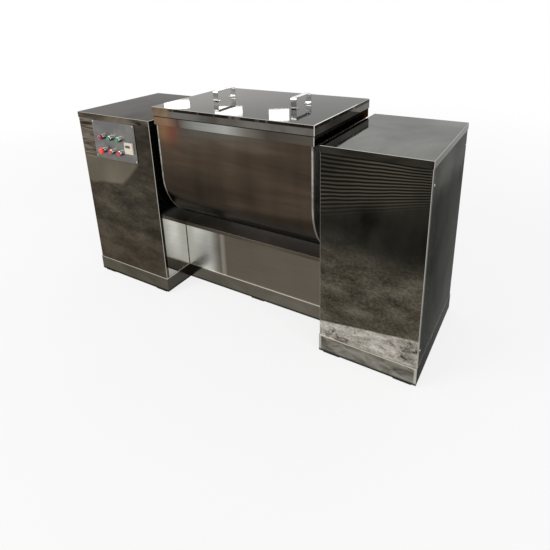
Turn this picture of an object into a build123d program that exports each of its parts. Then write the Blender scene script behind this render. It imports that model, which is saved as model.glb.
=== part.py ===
from build123d import *
import math
import os

# Tilting trough ribbon blender in mirror finished stainless steel.
# Two floor standing cabinets carry a U shaped trough between them on hollow
# trunnions. The left cabinet drives the ribbon agitator, the right cabinet tips
# the trough forward over the low bay, and the lid lifts off by two handles.
# X runs along the machine, the front faces -Y, Z is up from the floor, and the
# origin is on the floor in the middle of the machine. Millimetres throughout.

os.makedirs("parts", exist_ok=True)

# Cabinets and bay
CABINET_HEIGHT = 1000.0
CABINET_DEPTH = 620.0
LEFT_WIDTH = 550.0
RIGHT_WIDTH = 450.0
BAY_WIDTH = 950.0
BAY_RECESS = 190.0
PLINTH_TOP = 94.0
PAD_HEIGHT = 8.0
PAD_LENGTH = 80.0
PAD_WIDTH = 30.0
PAD_INSET = 60.0

# Sheet metal
SHEET = 2.0
BEND_RADIUS = 3.0
FOLD_CHAMFER = 1.5
CORNER_WRAP = 18.0
SEAM_GAP = 1.0
COVER_SKIRT = 30.0
DECK_LIP = 20.0
VENT_LENGTH = 90.0
VENT_WIDTH = 7.0
VENT_PITCH = 24.0
VENT_COUNT = 8
VENT_BELOW_TOP = 240.0
GLAND_HOLE_HEIGHT = 190.0

# Welded frame
TUBE = 30.0
TUBE_WALL = 2.5
FIT_GAP = 0.3
BOX_RAIL_BELOW_TOP = 140.0
BOX_RAIL_SPACING = 260.0
BEARING_RAIL_BELOW_AXIS = 68.0
MOTOR_RAIL_SPACING = 140.0

# Trough and lid
TROUGH_RADIUS = 290.0
TROUGH_SHEET = 3.0
END_PLATE = 8.0
TROUGH_GAP = 37.0
AXIS_HEIGHT = 708.0
TROUGH_ABOVE_DECK = 51.0
LID_ABOVE_CABINET = 75.0
LID_SHEET = 2.0
LID_SKIRT = 28.0
LID_OVERHANG = 12.0
GASKET_HEIGHT = 3.0
GASKET_WIDTH = 12.0
GASKET_INSET = 2.0
RIM_HEIGHT = 48.0
RIM_LIP = 4.0
RIM_CLEARANCE = 1.0
RIM_CHAMFER = 1.0
HANDLE_SPACING = 452.0
HANDLE_LENGTH = 150.0
HANDLE_WIDTH = 28.0
HANDLE_HEIGHT = 54.0
HANDLE_STRAP = 4.0
HANDLE_FOOT = 24.0
HANDLE_BEND = 10.0

# Trunnions and agitator shaft
SHAFT_DIAMETER = 60.0
SHAFT_END = 5.0
SHAFT_CHAMFER = 2.0
TRUNNION_DIAMETER = 110.0
TRUNNION_BORE = 66.0
TRUNNION_FLANGE = 200.0
TRUNNION_FLANGE_THICKNESS = 12.0
TRUNNION_OVERHANG = 14.0
TRUNNION_BOLT_CIRCLE = 165.0
TRUNNION_BOLT_COUNT = 6
BOLT_HEAD_ACROSS = 19.0
BOLT_HEAD_HEIGHT = 7.5
WALL_HOLE = 124.0
RUNNING_CLEARANCE = 0.05
GLAND_WIDTH = 110.0
GLAND_THICKNESS = 16.0
SUPPORT_PLATE = 12.0
SUPPORT_ABOVE_AXIS = 152.0
BEARING_FLANGE_WIDTH = 180.0
BEARING_FLANGE = 14.0
BEARING_HUB = 152.0
BEARING_LENGTH = 40.0

# Ribbon agitator
RIBBON_CLEARANCE = 8.0
RIBBON_END_GAP = 14.0
RIBBON_WIDTH = 32.0
RIBBON_THICKNESS = 6.0
INNER_RIBBON_RADIUS = 150.0
INNER_RIBBON_WIDTH = 26.0
SPOKE_WIDTH = 22.0
SPOKE_THICKNESS = 10.0
SPOKES_PER_TURN = 4
RIBBON_TAIL = 20.0
SPOKE_BITE = 6.0

# Main drive in the left cabinet
REDUCER_LENGTH = 160.0
REDUCER_WIDTH = 210.0
REDUCER_FROM_PLATE = 59.0
REDUCER_BELOW_AXIS = 178.0
REDUCER_ABOVE_AXIS = 92.0
WORM_DROP = 100.0
WORM_HOUSING = 100.0
WORM_COVER = 8.0
REDUCER_FOOT = 30.0
BORE_DEPTH = 50.0
SHAFT_DEPTH = 45.0
SHELF = 10.0
SHELF_MARGIN = 5.0
GUSSET_SHARE = 0.85
REDUCER_GUSSET = 180.0
TILT_GUSSET = 140.0
INPUT_SHAFT = 28.0
MOTOR_DIAMETER = 190.0
MOTOR_LENGTH = 300.0
MOTOR_SHAFT_HEIGHT = 100.0
MOTOR_OFFSET = 115.0
FIN_HEIGHT = 9.0
FIN_SLOT = 10.0
FAN_COWL = 62.0
MOTOR_FOOT_LENGTH = 190.0
MOTOR_FOOT_HEIGHT = 14.0
MOTOR_LEG = 10.0
TERMINAL_BOX = 90.0
MOTOR_PULLEY_DIAMETER = 80.0
REDUCER_PULLEY_DIAMETER = 160.0
PULLEY_WIDTH = 36.0
BELT_INSET = 4.0
BELT_PLANE = 160.0
BELT_HEIGHT = 6.0
BELT_CLEARANCE = 0.4

# Tilt drive in the right cabinet
GEAR_MODULE = 5.0
GEAR_TEETH = 48
SECTOR_TEETH = 20
SECTOR_LEAD = 17
GEAR_HUB_WALL = 20.0
PINION_TEETH = 16
GEAR_WIDTH = 30.0
PINION_WIDTH = 34.0
GEAR_BACKLASH = 0.6
TOOTH_ADDENDUM = 0.98
TOOTH_DEDENDUM = 1.25
TOOTH_SINK = 1.0
WEDGE_REACH = 1.4
PRESSURE_ANGLE = 20.0
PINION_ANGLE = 45.0
PINION_SHAFT = 30.0
PINION_SHAFT_DEPTH = 50.0
PINION_BORE_DEPTH = 55.0
GEARBOX_LENGTH = 110.0
GEARBOX_SIDE = 120.0
GEARBOX_BOSS = 10.0
GEARBOX_FROM_GEAR = 20.0
GEAR_FROM_BEARING = 9.0
TILT_MOTOR_WIDTH = 100.0
TILT_MOTOR_LIFT = 2.0
TILT_MOTOR_LENGTH = 200.0
END_BEARING_WIDTH = 150.0
END_BEARING_LENGTH = 40.0
END_BRACKET_FROM_WALL = 265.0
END_BRACKET = 10.0
END_BRACKET_HEIGHT = 300.0
END_BRACKET_GAP = 10.0

# Control panel on the left cabinet
PLATE_WIDTH = 326.0
PLATE_HEIGHT = 210.0
PLATE_THICKNESS = 3.0
PLATE_LAP = 20.0
PLATE_CENTRE = 276.0
PLATE_BELOW_TOP = 138.0
BUTTON_SPACING = 66.0
BUTTON_ROWS = 76.0
BUTTON_OFFSET = -20.0
BUTTON_DROP = -21.0
BEZEL_DIAMETER = 29.5
BEZEL_HEIGHT = 14.0
BEZEL_FLUTES = 24
CAP_DIAMETER = 24.0
CAP_PROUD = 23.0
PLUNGER = 10.0
PLUNGER_LENGTH = 34.0
BUTTON_TRAVEL = 4.0
REST_GAP = 0.5
ESTOP_DIAMETER = 38.0
ESTOP_PROUD = 35.0
ESTOP_HEAD = 15.0
ESTOP_TRAVEL = 5.0
CONTACT_BLOCK = 30.0
CONTACT_BLOCK_HEIGHT = 42.0
CONTACT_GAP = 1.0
TIMER_SIZE = 62.0
TIMER_PROUD = 8.0
TIMER_DEPTH = 90.0
TIMER_BODY = 52.0
TIMER_CHAMFER = 1.5
DISPLAY_WIDTH = 35.0
DISPLAY_HEIGHT = 14.0
DISPLAY_DEPTH = 1.2
DISPLAY_SHIFT = -4.5
DISPLAY_LIFT = 10.0
TIMER_OFFSET = 112.0
TIMER_DROP = -26.0
CONTROL_BOX_DEPTH = 100.0
CONTROL_BOX_WIDTH = 300.0
CONTROL_BOX_HEIGHT = 320.0
DOOR_LAP = 3.0
SCREW_HEAD = 9.0
SCREW_ABOVE_FLOOR = 170.0
SCREW_BELOW_TOP = 100.0
PLATE_SCREW_INSET = 9.0
SIDE_SCREW_INSET = 8.0
BACK_SCREW_INSET = 12.0
REAR_SCREW_INSET = 6.0
BAY_SCREW_BELOW_LIP = 20.0
SCREW_HEAD_HEIGHT = 2.5
GLAND_THREAD = 32.0
GLAND_THREAD_LENGTH = 12.0
GLAND_BODY = 42.0
GLAND_BODY_LENGTH = 8.0
GLAND_NUT = 34.0
GLAND_NUT_LENGTH = 18.0
CABLE_BORE = 13.0

# Planes that the pieces share
length = LEFT_WIDTH + BAY_WIDTH + RIGHT_WIDTH
left_x0 = -length / 2
left_x1 = left_x0 + LEFT_WIDTH
right_x0 = left_x1 + BAY_WIDTH
right_x1 = right_x0 + RIGHT_WIDTH
bay_x = (left_x1 + right_x0) / 2
half_depth = CABINET_DEPTH / 2
bay_front = -half_depth + BAY_RECESS
deck_height = AXIS_HEIGHT - TROUGH_RADIUS - TROUGH_ABOVE_DECK
lid_top = CABINET_HEIGHT + LID_ABOVE_CABINET
plate_z = CABINET_HEIGHT - PLATE_BELOW_TOP
box_rail_high = CABINET_HEIGHT - BOX_RAIL_BELOW_TOP
box_rail_low = box_rail_high - BOX_RAIL_SPACING
skin_y = half_depth - SHEET
sheet_y = skin_y - SHEET
frame_y = sheet_y - FIT_GAP
post_y = frame_y - TUBE / 2
inner_y = frame_y - TUBE
skin_top = CABINET_HEIGHT - SHEET
fold_relief = BEND_RADIUS - SHEET
sheet_top = skin_top - fold_relief
rail_low = PAD_HEIGHT + TUBE / 2
rail_top = PAD_HEIGHT + TUBE
rail_high = skin_top - TUBE / 2
deck_under = deck_height - SHEET

post_inset = 2 * SHEET + FIT_GAP + TUBE / 2
left_post_out = left_x0 + post_inset
left_post_in = left_x1 - post_inset
right_post_in = right_x0 + post_inset
right_post_out = right_x1 - post_inset

trough_x0 = left_x1 + TROUGH_GAP
trough_x1 = right_x0 - TROUGH_GAP
shell_x0 = trough_x0 + END_PLATE
shell_x1 = trough_x1 - END_PLATE
trough_length = trough_x1 - trough_x0
rim_top = lid_top - LID_SHEET - GASKET_HEIGHT
shell_top = rim_top - RIM_LIP
rim_thickness = LID_OVERHANG - LID_SHEET - RIM_CLEARANCE

left_plate_x = left_x1 - 2 * SHEET
right_plate_x = right_x0 + 2 * SHEET
left_bearing_x = left_plate_x - SUPPORT_PLATE
right_bearing_x = right_plate_x + SUPPORT_PLATE
reducer_x1 = left_bearing_x - REDUCER_FROM_PLATE
reducer_x0 = reducer_x1 - REDUCER_LENGTH
reducer_x = (reducer_x0 + reducer_x1) / 2
worm_z = AXIS_HEIGHT - WORM_DROP
shelf_top = AXIS_HEIGHT - REDUCER_BELOW_AXIS
motor_x = reducer_x - MOTOR_OFFSET
motor_z = rail_top + MOTOR_SHAFT_HEIGHT
motor_front = REDUCER_WIDTH / 2
gear_x = right_bearing_x + BEARING_LENGTH + GEAR_FROM_BEARING
gear_radius = GEAR_MODULE * GEAR_TEETH / 2
pinion_radius = GEAR_MODULE * PINION_TEETH / 2
centre_distance = gear_radius + pinion_radius
pinion_y = -centre_distance * math.sin(math.radians(PINION_ANGLE))
pinion_z = AXIS_HEIGHT - centre_distance * math.cos(math.radians(PINION_ANGLE))
gearbox_x0 = gear_x + GEAR_WIDTH + GEARBOX_FROM_GEAR
end_bracket_x = right_plate_x + END_BRACKET_FROM_WALL
end_bearing_x = end_bracket_x + END_BRACKET
shaft_x0 = reducer_x0 - SHAFT_END
shaft_x1 = end_bearing_x + END_BEARING_LENGTH + SHAFT_END

face_y = -skin_y
plate_y = face_y - PLATE_THICKNESS
plate_x = left_x0 + PLATE_CENTRE
button_x = plate_x + BUTTON_OFFSET
row_z = plate_z + BUTTON_DROP
timer_x = plate_x + TIMER_OFFSET
timer_z = plate_z + TIMER_DROP
columns = [button_x - BUTTON_SPACING, button_x, button_x + BUTTON_SPACING]
upper_row = row_z + BUTTON_ROWS / 2
lower_row = row_z - BUTTON_ROWS / 2
button_points = [(x, z) for z in (upper_row, lower_row) for x in columns]
cap_rest = plate_y - BUTTON_TRAVEL - REST_GAP
estop_rest = plate_y - ESTOP_TRAVEL - REST_GAP


def save(piece, name):
    """Label a finished piece and write its STEP file."""
    piece.part.label = name
    export_step(piece.part, f"parts/{name}.step")


def tube(start, end):
    """Weld a square tube between two points into the open frame."""
    run = Vector(*end) - Vector(*start)
    with BuildSketch(Plane(origin=start, z_dir=run)) as section:
        Rectangle(TUBE, TUBE)
        Rectangle(TUBE - 2 * TUBE_WALL, TUBE - 2 * TUBE_WALL, mode=Mode.SUBTRACT)
    extrude(section.sketch, amount=run.length)


def ring_of_tubes(x0, x1, z):
    """Four rails at one height between the four posts of a cabinet."""
    for y in (-post_y, post_y):
        tube((x0 + TUBE / 2, y, z), (x1 - TUBE / 2, y, z))
    for x in (x0, x1):
        tube((x, -inner_y, z), (x, inner_y, z))


# Welded frame of square tube under the skins
with BuildPart() as base_frame:
    for post_x in (left_post_out, left_post_in, right_post_in, right_post_out):
        for y in (-post_y, post_y):
            tube((post_x, y, PAD_HEIGHT), (post_x, y, skin_top))
    for height in (rail_low, rail_high):
        ring_of_tubes(left_post_out, left_post_in, height)
        ring_of_tubes(right_post_in, right_post_out, height)
    for height in (box_rail_low, box_rail_high):
        tube((left_post_out, -inner_y, height), (left_post_out, inner_y, height))
    for x in (motor_x - MOTOR_RAIL_SPACING / 2, motor_x + MOTOR_RAIL_SPACING / 2):
        tube((x, -inner_y, rail_low), (x, inner_y, rail_low))
    for y in (-post_y, post_y):
        height = AXIS_HEIGHT - BEARING_RAIL_BELOW_AXIS + TUBE / 2
        tube((right_post_in + TUBE / 2, y, height), (right_post_out - TUBE / 2, y, height))
    bay_rails = (bay_front + post_inset, post_y)
    bay_posts = (left_x1 - SHEET + TUBE / 2, bay_x, right_x0 + SHEET - TUBE / 2)
    for y in bay_rails:
        tube((left_post_in + TUBE / 2, y, rail_low), (right_post_in - TUBE / 2, y, rail_low))
        tube((left_x1 - SHEET, y, deck_under - TUBE / 2), (right_x0 + SHEET, y, deck_under - TUBE / 2))
        for x in bay_posts:
            tube((x, y, rail_top), (x, y, deck_under - TUBE))
    for x in bay_posts:
        height = deck_under - TUBE / 2
        tube((x, bay_rails[0] + TUBE / 2, height), (x, inner_y, height))
save(base_frame, "base_frame")

# Rubber pads under the frame
pad_x = [left_x0 + PAD_INSET, left_x1 - PAD_INSET, bay_x, right_x0 + PAD_INSET, right_x1 - PAD_INSET]
with BuildPart() as foot_pads:
    with BuildSketch():
        with Locations(*[(x, side * post_y) for x in pad_x for side in (-1, 1) if x != bay_x]):
            Rectangle(PAD_LENGTH, PAD_WIDTH)
        with Locations(*[(bay_x, y) for y in bay_rails]):
            Rectangle(PAD_LENGTH, PAD_WIDTH)
    extrude(amount=PAD_HEIGHT)
save(foot_pads, "foot_pads")


def front_panel(x0, x1):
    """Front sheet of a cabinet, folded back round both corners."""
    flange_y = -half_depth + SHEET + CORNER_WRAP
    with BuildPart() as panel:
        with BuildSketch(Plane.XY.offset(PAD_HEIGHT)):
            with BuildLine():
                FilletPolyline(
                    (x0, flange_y), (x0, face_y), (x1, face_y), (x1, flange_y), radius=BEND_RADIUS
                )
                offset(amount=SHEET, side=Side.LEFT)
            make_face()
        extrude(amount=sheet_top - PAD_HEIGHT)
    return panel


def side_sheet(x, inward, bottom, hole=0.0):
    """Side wall of a cabinet with a return folded in along its back edge."""
    with BuildPart() as sheet:
        with BuildSketch(Plane.XY.offset(bottom)):
            with BuildLine():
                FilletPolyline(
                    (x, -half_depth + SHEET + CORNER_WRAP + SEAM_GAP),
                    (x, skin_y),
                    (x + inward * CORNER_WRAP, skin_y),
                    radius=BEND_RADIUS,
                )
                offset(amount=SHEET, side=Side.RIGHT if inward > 0 else Side.LEFT)
            make_face()
        extrude(amount=sheet_top - bottom)
        if hole > 0:
            with BuildSketch(Plane.YZ.offset(x)) as opening:
                with Locations((0, AXIS_HEIGHT)):
                    Circle(hole / 2)
            extrude(opening.sketch, amount=inward * SHEET, mode=Mode.SUBTRACT)
    return sheet


def rear_panel(x0, x1):
    """Screwed rear sheet between the returns, with a row of cooling slots."""
    lap = CORNER_WRAP + SEAM_GAP
    with BuildPart() as panel:
        with BuildSketch(Plane.XZ.offset(-sheet_y)) as outline:
            with Locations(((x0 + x1) / 2, (PAD_HEIGHT + sheet_top) / 2)):
                Rectangle(x1 - x0 - 2 * lap, sheet_top - PAD_HEIGHT)
            with Locations(((x0 + x1) / 2, CABINET_HEIGHT - VENT_BELOW_TOP)):
                with GridLocations(0, VENT_PITCH, 1, VENT_COUNT):
                    Rectangle(VENT_LENGTH, VENT_WIDTH, mode=Mode.SUBTRACT)
        extrude(outline.sketch, amount=-SHEET)
    return panel


def top_cover(x0, x1):
    """Folded lid sheet of a cabinet with a skirt on all four sides."""
    with BuildPart() as cover:
        with BuildSketch(Plane.XY.offset(CABINET_HEIGHT - COVER_SKIRT)):
            with Locations(((x0 + x1) / 2, 0)):
                Rectangle(x1 - x0, CABINET_DEPTH)
        extrude(amount=COVER_SKIRT)
        chamfer(cover.edges().filter_by(Axis.Z), FOLD_CHAMFER)
        chamfer(cover.faces().sort_by(Axis.Z)[-1].edges(), FOLD_CHAMFER)
        with BuildSketch(Plane.XY.offset(CABINET_HEIGHT - COVER_SKIRT)) as hollow:
            with Locations(((x0 + x1) / 2, 0)):
                Rectangle(x1 - x0 - 2 * SHEET, CABINET_DEPTH - 2 * SHEET)
        extrude(hollow.sketch, amount=COVER_SKIRT - SHEET, mode=Mode.SUBTRACT)
    return cover


# Left cabinet skins, with the front pierced for the controls
left_front_panel = front_panel(left_x0 + SHEET, left_x1 - SHEET)
with left_front_panel:
    with BuildSketch(Plane.XZ.offset(-face_y)) as cutouts:
        with Locations((plate_x, plate_z)):
            Rectangle(PLATE_WIDTH - 2 * PLATE_LAP, PLATE_HEIGHT - 2 * PLATE_LAP)
    extrude(cutouts.sketch, amount=-SHEET, mode=Mode.SUBTRACT)
save(left_front_panel, "left_front_panel")
save(side_sheet(left_x0 + SHEET, 1, PAD_HEIGHT), "left_side_panel")
save(side_sheet(left_x1 - SHEET, -1, rail_top, WALL_HOLE), "left_inner_wall")
left_rear_panel = rear_panel(left_x0 + SHEET, left_x1 - SHEET)
with left_rear_panel:
    with BuildSketch(Plane.XZ.offset(-sheet_y)) as gland_hole:
        with Locations((motor_x, GLAND_HOLE_HEIGHT)):
            RegularPolygon(GLAND_THREAD / 2, 6)
    extrude(gland_hole.sketch, amount=-SHEET, mode=Mode.SUBTRACT)
save(left_rear_panel, "left_rear_panel")
save(top_cover(left_x0, left_x1), "left_top_cover")

# Right cabinet skins
save(front_panel(right_x0 + SHEET, right_x1 - SHEET), "right_front_panel")
save(side_sheet(right_x1 - SHEET, -1, PAD_HEIGHT), "right_side_panel")
save(side_sheet(right_x0 + SHEET, 1, rail_top, WALL_HOLE), "right_inner_wall")
save(rear_panel(right_x0 + SHEET, right_x1 - SHEET), "right_rear_panel")
save(top_cover(right_x0, right_x1), "right_top_cover")

# Low bay between the cabinets
bay_x0 = left_x1 - SHEET
bay_x1 = right_x0 + SHEET
panel_top = deck_under - fold_relief
with BuildPart() as bay_front_panel:
    with BuildSketch(Plane.XZ.offset(-(bay_front + SHEET))):
        with Locations((bay_x, (PAD_HEIGHT + panel_top) / 2)):
            Rectangle(bay_x1 - bay_x0, panel_top - PAD_HEIGHT)
    extrude(amount=-SHEET)
save(bay_front_panel, "bay_front_panel")

with BuildPart() as bay_rear_panel:
    with BuildSketch(Plane.XZ.offset(-sheet_y)):
        with Locations((bay_x, (PAD_HEIGHT + panel_top) / 2)):
            Rectangle(bay_x1 - bay_x0, panel_top - PAD_HEIGHT)
    extrude(amount=-SHEET)
save(bay_rear_panel, "bay_rear_panel")

with BuildPart() as bay_deck:
    with BuildSketch(Plane.YZ.offset(bay_x0)):
        with BuildLine():
            FilletPolyline(
                (bay_front, deck_height - DECK_LIP),
                (bay_front, deck_height),
                (half_depth, deck_height),
                (half_depth, deck_height - DECK_LIP),
                radius=BEND_RADIUS,
            )
            offset(amount=SHEET, side=Side.RIGHT)
        make_face()
    extrude(amount=bay_x1 - bay_x0)
save(bay_deck, "bay_deck")

# Plinth strips round the foot of the machine, proud of the skins by one sheet
plinth_height = PLINTH_TOP - PAD_HEIGHT
with BuildPart() as plinth:
    with BuildSketch(Plane.XY.offset(PAD_HEIGHT)):
        with BuildLine():
            Polyline(
                (left_x0, half_depth),
                (left_x0, -half_depth),
                (left_x1, -half_depth),
                (left_x1, bay_front),
                (right_x0, bay_front),
                (right_x0, -half_depth),
                (right_x1, -half_depth),
                (right_x1, half_depth),
                close=True,
            )
        make_face()
        offset(amount=-SHEET, kind=Kind.INTERSECTION, mode=Mode.SUBTRACT)
    extrude(amount=plinth_height)
save(plinth, "plinth")

# Screws that hold the removable panels and the control plate
side_screw_y = (-half_depth + SHEET + CORNER_WRAP + SEAM_GAP + SIDE_SCREW_INSET, skin_y - BACK_SCREW_INSET)
side_screw_z = (SCREW_ABOVE_FLOOR, CABINET_HEIGHT - SCREW_BELOW_TOP)
rear_lap = CORNER_WRAP + SEAM_GAP + REAR_SCREW_INSET
rear_screw_x = [left_x0 + SHEET + rear_lap, left_x1 - SHEET - rear_lap]
rear_screw_x += [right_x0 + SHEET + rear_lap, right_x1 - SHEET - rear_lap]
bay_screw_x = (bay_posts[0], bay_posts[2])
plate_screw_x = PLATE_WIDTH / 2 - PLATE_SCREW_INSET
plate_screw_z = PLATE_HEIGHT / 2 - PLATE_SCREW_INSET
plate_screws = [
    (plate_x + sx * plate_screw_x, plate_z + sz * plate_screw_z)
    for sx in (-1, 1)
    for sz in (-1, 1)
]


def screws(plane, points):
    """Hexagon screw heads seated on a panel."""
    with BuildSketch(plane) as heads:
        with Locations(*points):
            RegularPolygon(SCREW_HEAD / 2, 6)
    extrude(heads.sketch, amount=SCREW_HEAD_HEIGHT)


with BuildPart() as panel_screws:
    side_points = [(y, z) for y in side_screw_y for z in side_screw_z]
    screws(Plane.YZ.offset(right_x1 - SHEET), side_points)
    mirrored = [(-y, z) for y, z in side_points]
    screws(Plane(origin=(left_x0 + SHEET, 0, 0), x_dir=(0, -1, 0), z_dir=(-1, 0, 0)), mirrored)
    back_plane = Plane(origin=(0, skin_y, 0), x_dir=(-1, 0, 0), z_dir=(0, 1, 0))
    rear_points = [(-x, z) for x in rear_screw_x for z in side_screw_z]
    rear_points += [(-x, deck_height - DECK_LIP - BAY_SCREW_BELOW_LIP) for x in bay_screw_x]
    screws(back_plane, rear_points)
    screws(Plane.XZ.offset(-plate_y), plate_screws)
save(panel_screws, "panel_screws")

# Control plate with its lamp, buttons and timer
guide_half = PLUNGER / 2 + 2 * RUNNING_CLEARANCE
with BuildPart() as control_plate:
    with BuildSketch(Plane.XZ.offset(-face_y)):
        with Locations((plate_x, plate_z)):
            Rectangle(PLATE_WIDTH, PLATE_HEIGHT)
        with Locations(*button_points):
            Rectangle(2 * guide_half, 2 * guide_half, mode=Mode.SUBTRACT)
        with Locations((timer_x, timer_z)):
            Rectangle(TIMER_BODY, TIMER_BODY, mode=Mode.SUBTRACT)
    extrude(amount=PLATE_THICKNESS)
save(control_plate, "control_plate")


def turned(x, z, outline):
    """Revolve a half outline of radius and depth pairs about an axis along Y."""
    with BuildPart() as piece:
        with BuildSketch(Plane(origin=(x, 0, z), x_dir=(1, 0, 0), z_dir=(0, 0, 1))) as half:
            with BuildLine():
                Polyline(*outline, close=True)
            make_face()
        revolve(half.sketch, axis=Axis((x, 0, z), (0, 1, 0)))
    return piece


def push_cap(x, z, outline, back):
    """Turned cap with the square plunger that reaches the contact block behind it."""
    cap = turned(x, z, outline)
    with cap:
        with BuildSketch(Plane.XZ.offset(-back)) as plunger:
            with Locations((x, z)):
                Rectangle(PLUNGER, PLUNGER)
        extrude(plunger.sketch, amount=-PLUNGER_LENGTH)
    return cap


cap_r = CAP_DIAMETER / 2
bezel_r = BEZEL_DIAMETER / 2
cap_front = plate_y - CAP_PROUD
with BuildPart() as button_bezels:
    with BuildSketch(Plane.XZ.offset(-plate_y)):
        with Locations(*button_points):
            RegularPolygon(bezel_r, BEZEL_FLUTES, major_radius=False)
            RegularPolygon(cap_r + RUNNING_CLEARANCE, BEZEL_FLUTES, major_radius=False, mode=Mode.SUBTRACT)
    extrude(amount=BEZEL_HEIGHT)
save(button_bezels, "button_bezels")

buttons = {
    "mix_start_button": button_points[1],
    "tilt_start_button": button_points[2],
    "mix_stop_button": button_points[4],
    "tilt_return_button": button_points[5],
}
cap_outline = [(0, cap_front), (cap_r, cap_front), (cap_r, cap_rest), (0, cap_rest)]
for name, (x, z) in buttons.items():
    save(push_cap(x, z, cap_outline, cap_rest), name)

lamp_outline = [(0, cap_front), (cap_r, cap_front), (cap_r, plate_y), (0, plate_y)]
save(turned(*button_points[0], lamp_outline), "power_lamp")

# Mushroom emergency stop: the stem slides, the head turns on it to release
estop_x, estop_z = button_points[3]
estop_front = plate_y - ESTOP_PROUD
head_back = estop_front + ESTOP_HEAD
stem_outline = [(0, head_back), (cap_r, head_back), (cap_r, estop_rest), (0, estop_rest)]
save(push_cap(estop_x, estop_z, stem_outline, estop_rest), "estop_stem")
mushroom_r = ESTOP_DIAMETER / 2
head_outline = [(0, estop_front), (mushroom_r, estop_front), (mushroom_r, head_back), (0, head_back)]
save(turned(estop_x, estop_z, head_outline), "estop_head")

block_front = cap_rest + PLUNGER_LENGTH + BUTTON_TRAVEL + CONTACT_GAP
with BuildPart() as contact_blocks:
    with BuildSketch(Plane.XZ.offset(-(plate_y + PLATE_THICKNESS))):
        with Locations(*button_points):
            Rectangle(CONTACT_BLOCK, CONTACT_BLOCK_HEIGHT)
            Rectangle(2 * guide_half, 2 * guide_half, mode=Mode.SUBTRACT)
    extrude(amount=-(block_front - face_y))
    with BuildSketch(Plane.XZ.offset(-block_front)) as block_backs:
        with Locations(*button_points):
            Rectangle(CONTACT_BLOCK, CONTACT_BLOCK_HEIGHT)
    extrude(block_backs.sketch, amount=-CONTACT_BLOCK)
save(contact_blocks, "contact_blocks")

display_x = timer_x + DISPLAY_SHIFT
display_z = timer_z + DISPLAY_LIFT
with BuildPart() as timer:
    with BuildSketch(Plane.XZ.offset(-plate_y)):
        with Locations((timer_x, timer_z)):
            Rectangle(TIMER_SIZE, TIMER_SIZE)
    extrude(amount=TIMER_PROUD)
    chamfer(timer.faces().sort_by(Axis.Y)[0].edges(), TIMER_CHAMFER)
    with BuildSketch(Plane.XZ.offset(-plate_y)) as timer_body:
        with Locations((timer_x, timer_z)):
            Rectangle(TIMER_BODY, TIMER_BODY)
    extrude(timer_body.sketch, amount=-TIMER_DEPTH)
    with BuildSketch(Plane.XZ.offset(-(plate_y - TIMER_PROUD))) as display:
        with Locations((display_x, display_z)):
            Rectangle(DISPLAY_WIDTH, DISPLAY_HEIGHT)
    extrude(display.sketch, amount=-DISPLAY_DEPTH, mode=Mode.SUBTRACT)
save(timer, "timer")

# Electrical box on its rails inside the left cabinet
box_x0 = left_post_out + TUBE / 2
box_z = (box_rail_low + box_rail_high) / 2 + TUBE / 2
with BuildPart() as control_box:
    with BuildSketch(Plane.YZ.offset(box_x0)):
        with Locations((0, box_z)):
            Rectangle(CONTROL_BOX_WIDTH, CONTROL_BOX_HEIGHT)
    extrude(amount=CONTROL_BOX_DEPTH)
    offset(amount=-SHEET, openings=control_box.faces().sort_by(Axis.X)[-1])
    with BuildSketch(Plane.YZ.offset(box_x0 + CONTROL_BOX_DEPTH)) as door:
        with Locations((0, box_z)):
            Rectangle(CONTROL_BOX_WIDTH + 2 * DOOR_LAP, CONTROL_BOX_HEIGHT + 2 * DOOR_LAP)
    extrude(door.sketch, amount=SHEET)
save(control_box, "control_box")

# Cable gland at the back of the drive cabinet, its cord not modelled
gland_nut_y = skin_y + GLAND_BODY_LENGTH
gland_end = gland_nut_y + GLAND_NUT_LENGTH
gland_steps = [
    (skin_y, GLAND_BODY_LENGTH, GLAND_BODY),
    (gland_nut_y, GLAND_NUT_LENGTH, GLAND_NUT),
    (skin_y, -GLAND_THREAD_LENGTH, GLAND_THREAD),
]
with BuildPart() as cable_gland:
    for start, reach, across in gland_steps:
        with BuildSketch(Plane.XZ.offset(-start)) as hexagon:
            with Locations((motor_x, GLAND_HOLE_HEIGHT)):
                RegularPolygon(across / 2, 6)
        extrude(hexagon.sketch, amount=-reach)
    with BuildSketch(Plane.XZ.offset(-gland_end)) as cable_hole:
        with Locations((motor_x, GLAND_HOLE_HEIGHT)):
            Circle(CABLE_BORE / 2)
    extrude(cable_hole.sketch, amount=gland_end - skin_y + GLAND_THREAD_LENGTH, mode=Mode.SUBTRACT)
save(cable_gland, "cable_gland")

# Tipping trough: folded shell, end plates and the rim that stiffens its mouth
with BuildPart() as trough_shell:
    with BuildSketch(Plane.YZ.offset(shell_x0)):
        with BuildLine():
            Line((-TROUGH_RADIUS, shell_top), (-TROUGH_RADIUS, AXIS_HEIGHT))
            ThreePointArc(
                (-TROUGH_RADIUS, AXIS_HEIGHT),
                (0, AXIS_HEIGHT - TROUGH_RADIUS),
                (TROUGH_RADIUS, AXIS_HEIGHT),
            )
            Line((TROUGH_RADIUS, AXIS_HEIGHT), (TROUGH_RADIUS, shell_top))
            offset(amount=TROUGH_SHEET, side=Side.LEFT)
        make_face()
    extrude(amount=shell_x1 - shell_x0)
save(trough_shell, "trough_shell")


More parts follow.
